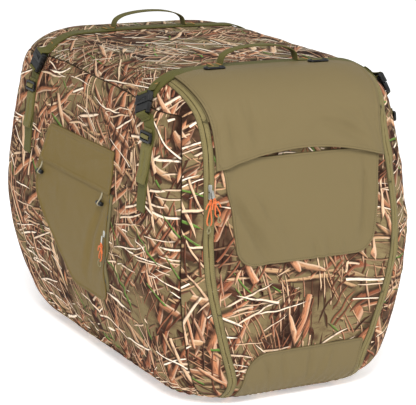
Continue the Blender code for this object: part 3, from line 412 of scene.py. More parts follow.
def pick(chosen, *cuts):
    """The cloth (table and faces) of the body's chosen faces, kept where every cut's function is negative."""
    data, faces = only_used(BODY, BODY_FACES[chosen])
    for function in cuts:
        data, faces = cut(data, faces, function(data), -1)
    return data, faces


def border(faces):
    """Directed edges that only one face uses."""
    seen = {}
    for face in faces:
        for a, b in zip(face, (*face[1:], face[0])):
            key = (min(a, b), max(a, b))
            seen[key] = None if key in seen else (a, b)
    return [edge for edge in seen.values() if edge]


def edge_distance(data, faces, ignore=None):
    """Distance of every point to the nearest edge of the cloth, except edges that ignore marks."""
    edges = np.array(border(faces))
    if ignore is not None:
        edges = edges[~(ignore(data[edges[:, 0]]) & ignore(data[edges[:, 1]]))]
    a, b = data[edges[:, 0], :3], data[edges[:, 1], :3]
    tree = KDTree(len(edges))
    for i, middle in enumerate((a + b) / 2):
        tree.insert(middle, i)
    tree.balance()
    near = np.array([[hit[1] for hit in tree.find_n(p, 3)] for p in data[:, :3]])
    best = np.full(len(data), 1e9)
    for k in range(3):
        start, d = a[near[:, k]], b[near[:, k]] - a[near[:, k]]
        s = np.clip(((data[:, :3] - start) * d).sum(1) / np.maximum((d * d).sum(1), 1e-12), 0, 1)
        best = np.minimum(best, np.linalg.norm(data[:, :3] - start - s[:, None] * d, axis=1))
    return best


def rounding(distance, reach, depth):
    """How far a rounded edge drops at a distance from the edge."""
    share = 1 - np.clip(distance / reach, 0, 1)
    return depth * (1 - np.sqrt(np.clip(1 - share * share, 0, 1)))


def cloth_edges(cloth, lines=(), ignore=None):
    """Fill the EDGE column and add mesh lines at the given distances from the edge."""
    data, faces = cloth
    data[:, EDGE] = edge_distance(data, faces, ignore)
    for line in lines:
        data, faces = cut(data, faces, data[:, EDGE] - line)
    return data, faces


RESTING = 0.004  # below this height the cloth is pressed flat by the ground, and never passes it


def bake_mesh(name, parts, plan=False):
    """One object of closed cloth shells. parts: (data, faces, outer material, inner material)."""
    vertices, polygons, slots, uvs, edges, base = [], [], [], [], [], 0
    materials = list(dict.fromkeys(finish for part in parts for finish in part[2:]))
    for data, faces, outer, inner in parts:
        count, rim, normal = len(data), border(faces), data[:, NX:NZ + 1]
        vertices += [data[:, :3] + normal * data[:, k:k + 1] for k in (OUT, IN)]
        polygons += [tuple(base + i for i in f) for f in faces]
        polygons += [tuple(base + count + i for i in reversed(f)) for f in faces]
        polygons += [(base + b, base + a, base + count + a, base + count + b) for a, b in rim]
        for finish, number in ((outer, len(faces)), (inner, len(faces)), (outer, len(rim))):
            slots += [materials.index(finish)] * number
        uvs += [data[:, (RU, RV) if plan else (U, V)]] * 2
        edges += [data[:, EDGE], data[:, EDGE] * 0]
        base += 2 * count
    vertices = np.vstack(vertices)
    low = vertices[:, 2] < RESTING
    vertices[low, 2] = RESTING * np.exp((vertices[low, 2] - RESTING) / RESTING)
    return new_mesh(name, vertices, polygons, materials, slots, np.vstack(uvs), np.concatenate(edges))


def new_mesh(name, vertices, polygons, materials, slots, uv, edge, sharp=50):
    mesh = bpy.data.meshes.new(name)
    mesh.from_pydata([tuple(v) for v in vertices], [], polygons)
    for thing in materials:
        mesh.materials.append(thing)
    mesh.polygons.foreach_set("material_index", slots)
    loops = np.zeros(len(mesh.loops), int)
    mesh.loops.foreach_get("vertex_index", loops)
    mesh.uv_layers.new(name="cloth").data.foreach_set("uv", uv[loops].astype(np.float32).ravel())
    mesh.attributes.new("edge", "FLOAT", "POINT").data.foreach_set("value", edge.astype(np.float32))
    mesh.shade_smooth()
    mesh.set_sharp_from_angle(angle=math.radians(sharp))
    mesh.update()
    return show(name, mesh)


# ---------------------------------------------------------------- folds, puckers and gathers


def mm(values):
    """Lengths given in millimetres, in metres."""
    return np.array(values) / 1000


def lattice(points, seed):
    """Smooth noise from 0 to 1 at points given in cells."""
    cell = np.floor(points).astype(np.int64)
    part = points - cell
    part = part * part * (3 - 2 * part)
    total = np.zeros(len(points))
    for corner in range(8):
        step = np.array([corner & 1, corner >> 1 & 1, corner >> 2])
        k = cell + step
        n = (k[:, 0] * 374761393 + k[:, 1] * 668265263 + k[:, 2] * 1442695041 + seed * 974634777) & 0xFFFFFFFF
        n = ((n ^ (n >> 13)) * 1274126177) & 0xFFFFFFFF
        value = ((n ^ (n >> 16)) & 0xFFFF) / 65535
        total += value * np.prod(np.where(step == 1, part, 1 - part), axis=1)
    return total


def fold(u, v, u0, v0, u1, v1, width, height):
    """A soft fold from (u0, v0) to (u1, v1): a crest with a shallow trough on both sides."""
    length = math.hypot(u1 - u0, v1 - v0)
    du, dv = (u1 - u0) / length, (v1 - v0) / length
    share = ((u - u0) * du + (v - v0) * dv) / length
    b = (v - v0) * du - (u - u0) * dv + 0.10 * length * (share - 0.5) ** 2
    b = b / (width * (0.6 + 0.8 * np.clip(share, 0, 1)))
    grow = np.clip(1 - np.abs(2 * share - 1) ** 2.2, 0, None)
    return height * grow * (np.exp(-b * b) - 0.42 * np.exp(-((np.abs(b) - 1.7) ** 2)))


def scattered_folds():
    """Creases all over the camouflaged walls, more and steeper towards the corners and the hem."""
    rng = np.random.default_rng(11)
    made = []
    corners = [WIDTH / 2 - 0.055, WIDTH / 2 + DEPTH - 0.34]
    for side in (-1, 1):
        for _ in range(46):
            u, z = rng.choice(corners) + rng.normal(0, 0.045), rng.uniform(0.05, 0.53)
            turn, length = rng.normal(0, 0.35), rng.uniform(0.04, 0.11)
            made.append((side * u, z, side * (u + length * math.sin(turn)), z + length * math.cos(turn),
                         rng.uniform(0.005, 0.011), rng.uniform(0.0012, 0.0030)))
        for _ in range(60):
            u, z, turn = rng.uniform(0.24, 1.23), rng.uniform(0.06, 0.53), rng.uniform(0, math.pi)
            length = rng.uniform(0.04, 0.12)
            made.append((side * u, z, side * (u + length * math.cos(turn)), z + length * math.sin(turn),
                         rng.uniform(0.006, 0.014), rng.uniform(-0.0022, 0.0024)))
    return made


# Creases in millimetres: start and end along and up the cloth, width and height.
DOOR_CREASES = mm((
    (-172, 440, -62, 268, 8.5, -7.0), (-140, 440, -30, 290, 9.5, 5.4), (-186, 430, -105, 290, 8.0, 4.8),
    (-100, 405, -66, 340, 7.0, -3.4), (150, 470, 128, 300, 8.0, -5.2), (172, 440, 150, 290, 7.5, 4.2),
    (10, 330, 30, 270, 5.5, -3.0), (45, 330, 55, 270, 5.5, -2.6), (74, 325, 80, 270, 5.5, 2.4),
    (40, 545, 165, 495, 10.0, -4.0), (85, 560, 180, 500, 8.5, 3.2), (-175, 575, -150, 480, 8.0, -4.4),
    (-150, 585, -120, 490, 8.5, 3.4), (-120, 590, -100, 500, 8.0, -3.0), (-70, 500, 70, 560, 16, 2.0),
    (-120, 270, -60, 150, 9.5, -4.0), (20, 250, 120, 140, 11.0, 4.2), (100, 260, 170, 210, 8.0, -3.4),
    (-90, 100, -80, 30, 6.5, -3.4), (-45, 104, -40, 40, 6.5, -2.8), (30, 104, 35, 30, 8.0, -3.6),
    (85, 100, 80, 30, 7.5, 3.2)))
SIDE_CREASES = mm(((520, 360, 620, 170, 11, -4.2), (440, 310, 560, 160, 10, 3.6),
                   (460, 450, 660, 400, 10, 2.4), (400, 240, 500, 150, 8, -3.0)))
# Folds in the roof: start in x and y, direction and length.
ROOF_FOLDS = ((-0.10, -0.12, 0.2, 0.20), (0.05, 0.02, -0.25, 0.24), (-0.05, 0.13, 0.15, 0.22),
              (0.12, -0.05, 1.3, 0.16), (-0.15, 0.05, 1.5, 0.18), (0.02, 0.33, 0.1, 0.2))


def relief(data):
    """How far the cloth stands out at each point of the table: the folds that all its layers share."""
    u, z, y = data[:, U], data[:, Z], data[:, Y]
    high = data[:, V] - (T_WALL - HEM_ROUND)
    noise = lambda cell, seed: lattice(data[:, :3] / cell, seed)
    out = 0.0022 * (noise(0.075, 3) - 0.5) + 0.0014 * (noise(0.028, 5) - 0.5)
    out *= 1 - 0.65 * smooth(0.02, -0.01, np.abs(u) - door_half(z))
    wall = 1 - smooth(T_SEAM - 0.01, T_SEAM + 0.02, data[:, T])
    windows, bands = (outline_distance(outline, y, z) for outline in (window_outline(), band_outline()))
    quiet = np.where(np.abs(u) > 0.25, smooth(-0.01, 0.03, np.minimum(windows, bands)), 1.0)
    out += sum(fold(u, high, *row) for row in scattered_folds()) * wall * (0.25 + 0.75 * quiet)
    for row in DOOR_CREASES:
        out += fold(u, high, *row)
    for row in SIDE_CREASES:
        out += fold(np.abs(u), high, *row) * wall
    roof = smooth(T_SEAM, T_ROOF, data[:, T])
    for k, (x0, y0, turn, length) in enumerate(ROOF_FOLDS):
        out += roof * fold(data[:, RU], data[:, RV], x0, y0, x0 + length * math.cos(turn),
                           y0 + length * math.sin(turn), 0.018, (-1) ** k * 0.0026)
    back = smooth(0.24, 0.34, np.abs(u))
    out += (0.0030 * back + 0.0008) * np.sin(u * TURN / 0.024 + 5 * noise(0.06, 8)) * smooth(0.085, 0.012, z)
    for word in ("front", "rear"):
        under = 1 - smooth(STRAP_WIDTH / 2 + 0.010, STRAP_WIDTH / 2 + 0.038, strap_distance(word, data))
        held = under * smooth(SIDE_STRAP_END_Z - 0.03, SIDE_STRAP_END_Z + 0.01, z) * (np.abs(u) > 0.2)
        held = np.maximum(held, under * (data[:, T] > T_ROOF - 0.001))
        out = out * (1 - held) - 0.0012 * held
    return out


# ---------------------------------------------------------------- materials


def arithmetic(operation, backwards=False):
    """An operator of Wire: a Math node, or a VectorMath node where the wire carries a vector or colour."""
    def join(wire, other=0.0):
        pair = (other, wire) if backwards else (wire, other)
        if wire.socket.type == "VALUE":
            return wire.nodes.math(operation, *pair)
        if operation == "MULTIPLY" and isinstance(other, float):
            return wire.nodes.new("VectorMath", 0, {0: wire, "Scale": other}, operation="SCALE")
        return wire.nodes.new("VectorMath", 0, {0: wire, 1: other}, operation=operation)
    return join


class Wire:
    """The output of a shader node. Arithmetic on it adds nodes."""

    def __init__(self, nodes, socket):
        self.nodes, self.socket = nodes, socket

    __add__, __sub__, __mul__, __truediv__ = map(arithmetic, ("ADD", "SUBTRACT", "MULTIPLY", "DIVIDE"))
    __rsub__, __abs__ = arithmetic("SUBTRACT", True), arithmetic("ABSOLUTE")


class Nodes:
    """A short way to write a tree's nodes."""

    def __init__(self, tree):
        self.tree = tree

    def put(self, target, value):
        if isinstance(value, Wire):
            self.tree.links.new(value.socket, target)
        else:
            target.default_value = (*value, 1) if target.type == "RGBA" else value

    def new(self, kind, out=0, inputs=None, **settings):
        """A new node's output, or several where out names several."""
        node = self.tree.nodes.new("ShaderNode" + kind)
        for key, value in settings.items():
            setattr(node, key, value)
        for key, value in (inputs or {}).items():
            self.put(node.inputs[key], value)
        if isinstance(out, tuple):
            return [Wire(self, node.outputs[k]) for k in out]
        return Wire(self, node.outputs[out])

    def math(self, operation, a, b=0.0, clamp=False):
        return self.new("Math", 0, {0: a, 1: b, 2: 0.0}, operation=operation, use_clamp=clamp)

    def sine(self, value, pitch):
        return self.math("SINE", value * (TURN / pitch))

    def mix(self, share, a, b, blend="MIX"):
        return self.new("Mix", 2, {0: share, 6: a, 7: b}, data_type="RGBA", blend_type=blend)

    def ramp(self, value, stops):
        made = self.new("ValToRGB", 0, {0: value})
        elements = made.socket.node.color_ramp.elements
        while len(elements) < len(stops):
            elements.new(0.5)
        for element, (place, colour) in zip(elements, stops):
            element.position, element.color = place, (*colour, 1)
        return made

    def step(self, value, low, high):
        return self.new("MapRange", 0, {"Value": value, "From Min": low, "From Max": high},
                        interpolation_type="SMOOTHSTEP")

    def noise(self, place, scale, detail=1.0, rough=0.5, out=0, kind="3D"):
        inputs = {"Vector": place, "Scale": scale, "Detail": detail, "Roughness": rough}
        return self.new("TexNoise", out, inputs, noise_dimensions=kind)

    def turn(self, place, angle):
        return self.new("VectorRotate", 0, {"Vector": place, "Angle": angle}, rotation_type="Z_AXIS")

    def parts(self, place):
        return self.new("SeparateXYZ", (0, 1, 2), {0: place})

    def cloth(self):
        return self.new("UVMap", uv_map="cloth")

    def edge(self):
        return self.new("Attribute", 2, attribute_name="edge")

    def space(self):
        return self.new("TexCoord", 3)

    def weave(self, place, pitch):
        """A fine over-and-under weave."""
        across, along, _ = self.parts(place)
        return self.sine(across, pitch) * self.sine(along, pitch)

    def finish(self, colour, roughness=None, height=None, strength=0.0, distance=0.0006, **settings):
        """The material, once its shader has its colour, its roughness if it varies, and its bump."""
        inputs = self.shader.inputs
        self.put(inputs["Base Color"], colour)
        if roughness is not None:
            self.put(inputs["Roughness"], roughness)
        if height is not None:
            self.put(inputs["Normal"], self.new("Bump", 0, {"Strength": strength, "Distance": distance,
                                                            "Height": height}, **settings))
        return self.material


def material(name, roughness, gloss=0.5, metallic=0.0, sheen=0.0, coat=0.0):
    """The nodes of a new material, with the plain values set on its shader."""
    made = bpy.data.materials.new(name)
    made.use_nodes = True
    n = Nodes(made.node_tree)
    n.material, n.shader = made, made.node_tree.nodes["Principled BSDF"]
    for key, value in (("Roughness", roughness), ("Metallic", metallic), ("Sheen Weight", sheen),
                       ("Sheen Roughness", 0.4), ("Coat Weight", coat), ("Specular IOR Level", gloss)):
        n.shader.inputs[key].default_value = value
    return n


def shade(colour, amount):
    return tuple(c * amount for c in colour)


def nylon(name, colour, seam=0.0045, rim=0.45, shade_rim_width=0.0018):
    """Plain olive cloth: fine weave, soft sheen, faint mottling, a stitched edge and a painted shade line
    along its edge.
    """
    n = material(name, 0.62, 0.16, sheen=0.02)
    place = n.cloth()
    mottle = n.noise(n.space(), 9.0, 3.0)
    fine = n.noise(place, 420.0)
    base = n.mix(mottle * 0.14 + fine * 0.10 + 0.38, shade(colour, 0.80), shade(colour, 1.16))
    edge = n.edge()
    row = 1.0 - n.step(abs(edge - seam), 0.0005, 0.0012)
    across, along, _ = n.parts(place)
    stitches = row * n.step(n.sine(across + along, 0.0040), -0.6, 0.0)
    # Painted shade: near the cloth's edge its colour darkens towards a third of itself, a painted shadow
    # along the seams.
    base = n.mix((1.0 - n.step(edge, 0.0, shade_rim_width)) * rim, base, shade(colour, 0.35))
    base = n.mix(stitches * 0.55, base, shade(colour, 0.45))
    return n.finish(base, mottle * 0.16 + 0.52, n.weave(place, 0.0011) + stitches * -2.0, 0.22)


def reed_layer():
    """A node group that lays tapered stalks over a plane, with a lit edge, a dark edge and a shadow."""
    tree = bpy.data.node_groups.new("reed_layer", "ShaderNodeTree")
    for kind, names in (("Vector", "Place"), ("Color", "Under Low High"),
                        ("Float", "Turn Length Pitch Width Share Spread Seed Dim")):
        for name in names.split():
            tree.interface.new_socket(name, in_out="INPUT", socket_type="NodeSocket" + kind)
    tree.interface.new_socket("Colour", in_out="OUTPUT", socket_type="NodeSocketColor")
    n = Nodes(tree)
    place, under, low, high, turn, length, pitch, width, share, spread, seed, dim = (
        Wire(n, socket) for socket in list(tree.nodes.new("NodeGroupInput").outputs)[:12])
    apart = n.new("CombineXYZ", 0, {0: seed * 1.37, 1: seed * 2.11})
    # A trace of the colour below makes each layer wait for it, so that the shader needs little memory.
    waiting = under * 1e-9
    turned = n.turn(place + apart + waiting, turn)
    size = n.new("CombineXYZ", 0, {0: length, 1: pitch, 2: 1.0})
    centre, chance = n.new("TexVoronoi", ("Position", "Color"), {"Vector": turned / size, "Scale": 1.0,
                                                                 "Randomness": 0.9},
                           voronoi_dimensions="2D", feature="F1")
    tilt, reach, girth = n.parts(chance)
    luck = n.new("TexWhiteNoise", "Value", {"Vector": centre}, noise_dimensions="2D")
    local = n.turn((turned / size - centre) * size, (tilt - 0.5) * spread)
    across, up, _ = n.parts(local)
    along = across / (length * (reach * 0.30 + 0.26))
    wide = width * (girth * 0.8 + 0.5)
    taper = (1.0 - n.math("POWER", abs(along), 5.0)) * (along * 0.22 + 0.85)
    side = up / wide / n.math("MAXIMUM", taper, 0.0001)
    shown = n.math("LESS_THAN", luck, share)
    inside = (1.0 - n.step(abs(side), 0.84, 1.08)) * shown
    shadow = (1.0 - n.step(abs(side + 1.0), 0.6, 1.7)) * shown
    grain = n.noise(local * (40.0, 1100.0, 1.0), 1.0, 2.0, kind="2D")
    stalk = n.mix(n.math("MULTIPLY", (grain - 0.5) * 1.5 + reach, 1.0, clamp=True), low, high)
    knots = n.step(n.noise(local * (70.0, 160.0, 1.0), 1.0, 2.0, kind="2D"), 0.56, 0.66)
    stalk = n.mix(knots * 0.55, stalk, (0.075, 0.032, 0.024))
    stalk = n.mix(n.step(side, 0.15, 0.75) * 0.55 * dim, stalk, (0.78, 0.60, 0.42))
    stalk = n.mix((1.0 - n.step(side, -0.85, -0.25)) * 0.62, stalk, (0.055, 0.021, 0.014))
    ground = n.mix(shadow * 0.72, under, (0.024, 0.011, 0.008))
    n.put(tree.nodes.new("NodeGroupOutput").inputs["Colour"], n.mix(inside, ground, stalk))
    return tree


REEDS = reed_layer()
UMBER, BARK, RUST = (0.014, 0.005, 0.003), (0.095, 0.040, 0.022), (0.275, 0.092, 0.045)
FOX, TAN, STRAW = (0.490, 0.205, 0.100), (0.490, 0.290, 0.152), (0.720, 0.495, 0.305)
CREAM, KHAKI, LEAF = (0.980, 0.850, 0.680), (0.215, 0.162, 0.076), (0.10, 0.20, 0.035)
REED_ROWS = (  # darkest and lightest colour, turn, length, pitch and width in mm, share, spread, lit edge
    (UMBER, BARK, 0.4, 110, 30, 8.5, 0.60, 0.40, 0.1), (BARK, RUST, 2.2, 100, 26, 7.0, 0.55, 0.40, 0.2),
    (UMBER, BARK, 1.3, 90, 12, 2.1, 0.85, 0.30, 0.0), (BARK, TAN, 2.8, 100, 12, 1.9, 0.80, 0.30, 0.2),
    (KHAKI, TAN, 0.0, 120, 20, 4.8, 0.55, 0.30, 0.2), (RUST, FOX, 1.7, 120, 30, 8.5, 0.60, 0.40, 0.6),
    (RUST, TAN, 0.8, 90, 9, 1.6, 0.70, 0.16, 0.4), (BARK, FOX, 2.4, 130, 28, 6.6, 0.60, 0.40, 0.8),
    (RUST, STRAW, 1.2, 110, 10, 2.1, 0.55, 0.20, 0.6), (RUST, TAN, 0.3, 140, 32, 7.0, 0.55, 0.40, 1.0),
    (UMBER, RUST, 2.0, 100, 11, 2.0, 0.75, 0.20, 0.2), (TAN, CREAM, 2.9, 120, 11, 2.0, 0.42, 0.20, 0.7),
    (LEAF, LEAF, 0.6, 110, 50, 2.2, 0.50, 0.40, 0.2), (FOX, STRAW, 1.5, 150, 24, 3.4, 0.42, 0.30, 1.0),
    (TAN, CREAM, 2.6, 130, 18, 2.2, 0.42, 0.25, 1.0), (FOX, STRAW, 1.0, 160, 40, 6.0, 0.42, 0.50, 1.0),
    (STRAW, CREAM, 0.1, 130, 26, 2.0, 0.36, 0.50, 1.0))


def camouflage(name, shift=(0.0, 0.0), turn=0.0, shade_tint=(1, 1, 1), thick=1.0):
    """A made-up marsh print: slightly swaying stalks and litter in loose clumps over khaki ground."""
    n = material(name, 0.85, 0.06)
    flat = n.cloth()
    place = n.turn(flat * 0.86 + (*shift, 0.0), turn)
    sway, curl = (n.noise(place, scale, out=1) - (0.5, 0.5, 0.5) for scale in (3.4, 14.0))
    bent = place + sway * 0.12 + curl * 0.012
    clump = n.noise(place, 9.5, 3.0, 0.60)
    litter = n.noise(bent * (28.0, 120.0, 1.0), 1.0, 3.0, 0.65)
    ground = n.ramp(clump, [(0.37, (0.022, 0.010, 0.006)), (0.44, (0.092, 0.052, 0.029)),
                            (0.50, (0.180, 0.133, 0.064)), (0.68, (0.232, 0.178, 0.086))])
    colour = n.mix(n.step(litter, 0.50, 0.66) * 0.55, ground, (0.095, 0.048, 0.030))
    for row, (low, high, angle, length, pitch, width, share, spread, dim) in enumerate(REED_ROWS):
        patch = n.noise(place + (1.7 * row, 2.9 * row, 0.0), 7.0)
        dense = n.step(patch, 0.43, 0.56) * thick * share
        values = (bent, colour, low, high, angle, length / 1000, pitch / 1000, width / 1000, dense, spread,
                  row + 1.0, dim)
        colour = n.new("Group", 0, dict(enumerate(values)), node_tree=REEDS)
    grain = n.noise(flat, 300.0)
    colour = n.mix(1.0, colour, n.ramp(grain, [(0.3, (0.90,) * 3), (0.7, (1.06,) * 3)]), "MULTIPLY")
    # A multiplying tint: painted shade where it is below one.
    colour = n.mix(1.0, colour, shade_tint, "MULTIPLY")
    # Painted shade: within 2.6 mm of the panel's edges the print darkens to near black, for the shadow in its
    # seams.
    colour = n.mix((1.0 - n.step(n.edge(), 0.0, 0.0026)) * 0.8, colour, (0.020, 0.014, 0.009))
    return n.finish(colour, grain * 0.2 + 0.70, n.weave(flat, 0.0013), 0.15)


def webbing(name, colour, along=1):
    """Woven strap: ribs across it, a flat selvedge at both edges. along is the UV axis of its length."""
    n = material(name, 0.70, 0.15, sheen=0.04)
    place = n.cloth()
    parts = n.parts(place)
    rows = parts[along] * (TURN / 0.0024)
    rib = n.math("SINE", rows + n.math("PINGPONG", parts[1 - along], 0.0032) * 1400.0)
    selvedge = 1.0 - n.step(n.edge(), 0.0016, 0.0030)
    share = n.math("ADD", rib * 0.16 + n.noise(place, 500.0) * 0.3, 0.30, clamp=True)
    base = n.mix(share, shade(colour, 0.55), shade(colour, 1.25))
    return n.finish(n.mix(selvedge * 0.35, base, shade(colour, 0.55)), None, rib, 0.5)


def plastic(name):
    """Black moulded plastic: fine grain, faint scuffs."""
    n = material(name, 0.34, 0.30)
    space = n.space()
    scuff, grain = n.noise(space, 160.0, 4.0, 0.6), n.noise(space, 1400.0)
    base = n.mix(n.step(scuff, 0.45, 0.75), (0.0055,) * 3, (0.015,) * 3)
    return n.finish(base, scuff * 0.25 + 0.24, grain, 0.12, 0.0002)


def metal(name):
    """Cast zinc, worn brighter in places."""
    n = material(name, 0.32, metallic=0.92)
    wear = n.noise(n.space(), 260.0, 3.0, 0.7)
    return n.finish(n.mix(wear, (0.30, 0.30, 0.27), (0.62, 0.61, 0.56)), wear * 0.3 + 0.18)


def zip_coil(name):
    """The coil's turns, as fine dark bars across the zip."""
    n = material(name, 0.45, coat=0.1)
    across, along, _ = n.parts(n.cloth())
    bars = n.sine(across + along, 0.0015)
    return n.finish(n.mix(n.step(bars, -0.4, 0.6), (0.012, 0.011, 0.008), (0.075, 0.066, 0.040)), None, bars,
                    0.7, 0.0005)


def braid(name, colour):
    """Braided cord or thread."""
    n = material(name, 0.6, sheen=0.2)
    around, along, _ = n.parts(n.cloth())
    a, b = around * (TURN * 3), along * (TURN / 0.003)
    strands = n.math("SINE", a + b) * n.math("SINE", a - b)
    return n.finish(n.mix(n.step(strands, -0.5, 0.3), shade(colour, 0.6), colour), None, strands, 0.5, 0.0004)


def window_mesh(name):
    """Fine dark mesh of the windows' screens, with its holes painted near black as painted shade."""
    n = material(name, 0.75)
    lines = [abs(n.math("SINE", part * (math.pi / 0.0024))) for part in n.parts(n.cloth())[:2]]
    hole = n.step(lines[0], 0.35, 0.6) * n.step(lines[1], 0.35, 0.6)
    # Painted shade: the holes are near black, for the shaded inside seen through the mesh.
    colour = n.mix(hole, (0.055, 0.052, 0.042), (0.006, 0.006, 0.005))
    return n.finish(colour, None, hole, 0.8, 0.0008, invert=True)


OLIVE = nylon("olive_nylon_cloth", (0.160, 0.121, 0.054))
# Painted shade: a darker copy of the olive cloth, used on the side windows' band and flap.
OLIVE_SHADED = nylon("olive_nylon_shaded_side", (0.155, 0.106, 0.028))
LINING = nylon("lining_cloth", (0.045, 0.040, 0.026))
# Painted shade: the zip tape's edges are darkened almost fully, for the shadow lines on both sides of the
# zip.
TAPE = nylon("zip_tape_cloth", (0.185, 0.148, 0.060), seam=0.0036, rim=0.95, shade_rim_width=0.0030)
CAMO_SIDE = {"left": camouflage("camo_left", (0.3, 0.1), 0.2, thick=1.08),
             "right": camouflage("camo_right", (1.7, 0.6), -0.4, thick=1.08)}
# Painted shade: the roof's copy of the print is tinted darker and cooler than the walls' copies.
CAMO_ROOF = camouflage("camo_roof", (3.1, 2.2), 1.1, shade_tint=(0.90, 0.95, 0.98))
CAMO_REAR = camouflage("camo_rear", (5.3, 1.4), 0.3)
CAMO_FRONT = camouflage("camo_front", (7.9, 3.3), -0.25, thick=1.1)
CAMO_DOOR = camouflage("camo_door", (9.4, 4.8), 0.35, thick=0.85)
WEB_ACROSS = webbing("webbing_roof", (0.110, 0.100, 0.024), 0)
WEB_DOWN = webbing("webbing_side", (0.110, 0.100, 0.024))
WEB_TAIL = webbing("webbing_tail", (0.170, 0.145, 0.046))
WEB_HANDLE = webbing("webbing_handle", (0.120, 0.108, 0.028))
BLACK = plastic("black_plastic_moulded")
ZIP_METAL = metal("zip_metal_cast")
COIL = zip_coil("zip_coil")
ORANGE = braid("orange_cord_braid", (0.78, 0.17, 0.03))
CORD_OLIVE = braid("olive_cord_braid", (0.24, 0.20, 0.08))
ELASTIC = braid("elastic_cord", (0.035, 0.034, 0.030))
ELASTIC_PALE = braid("elastic_pale", (0.42, 0.36, 0.22))
THREAD = braid("tack_thread", (0.55, 0.27, 0.07))
SCREEN = window_mesh("window_mesh")

# ---------------------------------------------------------------- panels and sewn layers

BODY[:, OUT] = relief(BODY)
FACE_T = BODY[:, T][BODY_FACES].mean(1)
FACE_Q = np.abs(BODY[:, Q])[BODY_FACES].mean(1)
ON_SIDE = {name: BODY[:, X][BODY_FACES].mean(1) * side > 0 for side, name in SIDE_NAMES}
WALLS = FACE_T < T_SEAM
LOW = FACE_T < T_ROOF
NEAR_SIDE = (FACE_Q > 1.2) & (FACE_Q < 3.8)
DOORWAY = WALLS & (FACE_Q < FRONT_SEAM)
FRONT = DOORWAY | (FACE_T > T_SEAM)
# The cloth's blends: two bodies, and the places between which it passes from the first to the second.
DOOR_BLEND = ("cover", "door_upper", (0.0, 0.0, 0.566), (0.0, 0.0, 0.520))
FOLD_BLENDS = (("door_upper", "door_middle", (0.0, 0.0, 0.302), (0.0, 0.0, 0.242)),
               ("door_middle", "door_lower", (0.0, 0.0, 0.148), (0.0, 0.0, 0.088)))


def above(z):
    return lambda d: z - d[:, Z]


def below(z):
    return lambda d: d[:, Z] - z


def within(outline, axis=Y):
    """Negative inside an outline in x or y and z."""
    return lambda d: outline_distance(outline, d[:, axis], d[:, Z])


def before_strap(d):
    """Negative in front of the front strap's centre line."""
    return d[:, Y] - strap_y("front", d[:, X])


def door_side(d, inset=0.0):
    """Negative inside the doorway, drawn in by inset."""
    return np.abs(d[:, X]) - door_half(d[:, Z]) + inset


def in_doorway(d):
    return door_side(d, GAP)


def hem_only(d):
    return d[:, T] < 0.001


def at_door_edge(d):
    return (np.abs(door_side(d)) < 0.003) & (np.abs(d[:, Q]) < 2.2) | hem_only(d)


def joined_behind(cloth):
    """The cloth with its flat place running on across the middle of the rear."""
    cloth[0][cloth[0][:, Q] < 0, U] += 2 * BODY[:, U].max()
    return cloth


def quilted(cloth, ignore=hem_only, reach=0.006, depth=0.0036):
    """Give a padded panel its thickness, with its sewn edges pulled in."""
    data, faces = cloth_edges(cloth, (0.0012, 0.003, reach), ignore)
    data[:, OUT] -= rounding(data[:, EDGE], reach, depth)
    data[:, IN] = -PANEL
    return data, faces


def sewn(cloth, lift, thick=LAYER, welt=0.0, welt_width=0.006, lines=(0.0009, ), ignore=None):
    """Give a sewn layer its place and thickness over the cloth below it."""
    ends = (welt_width - 0.0005, welt_width + 0.0005)
    data, faces = cloth_edges(cloth, lines + (ends if welt else ()), ignore)
    body = thick + welt * (1 - smooth(*ends, data[:, EDGE]))
    data[:, IN] = data[:, OUT] + (lift(data) if callable(lift) else lift)
    data[:, OUT] = data[:, IN] + body - rounding(data[:, EDGE], 0.0012, 0.7 * body)
    return data, faces


def set_piece(piece, motion, nodes=()):
    """Attach a piece to its body, or bake its transform into its mesh where it blends between two bodies, and
    hide the CAD nodes it stands for.
    """
    if isinstance(motion, str):
        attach(piece, motion)
    else:
        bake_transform(piece)
    if nodes:
        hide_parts(*nodes)


def cloth_piece(name, cloth, finish, slot, motion, nodes, more=(), plan=False, fill=None, **facts):
    """A padded piece lined with dark cloth, or a sheet; the facts of its cut are not used."""
    inner = finish if fill is None else LINING
    piece = bake_mesh(name, [(*cloth, finish, inner), *more], plan)
    set_piece(piece, motion, nodes)


def make_panels():
    """The quilted camouflage panels: roof, rear, sides and the doorway's surrounds."""
    def panel(name, node, cloth, finish, ignore=hem_only, plan=False):
        cloth_piece(name, quilted(cloth, ignore), finish, "camo_shell", "cover", [node], plan=plan, fill=0.2)

    above_seam = lambda d: -over_seam(d)
    beyond_corner = lambda d: np.minimum((np.abs(d[:, Q]) - FRONT_SEAM) * CORNER_RADIUS * 1.6, above_seam(d))
    around_window = lambda d: -within(window_outline(WINDOW_LAP))(d)
    behind_strap = lambda d: -before_strap(d)
    panel("roof", "roof_panel", pick(FACE_T > T_SEAM, above_seam, behind_strap), CAMO_ROOF, plan=True)
    panel("rear", "rear_panel", joined_behind(pick(LOW & (FACE_Q > REAR_SEAM), over_seam)), CAMO_REAR)
    for _, name in SIDE_NAMES:
        here = LOW & (FACE_Q > FRONT_SEAM) & (FACE_Q < REAR_SEAM) & ON_SIDE[name]
        panel(name + "_side", name + "_side_panel", pick(here, around_window, over_seam), CAMO_SIDE[name])
        front = pick(FRONT & ON_SIDE[name], before_strap, lambda d: -door_side(d, -GAP), beyond_corner)
        panel(name + "_surround", name + "_front_surround", front, CAMO_FRONT, at_door_edge)


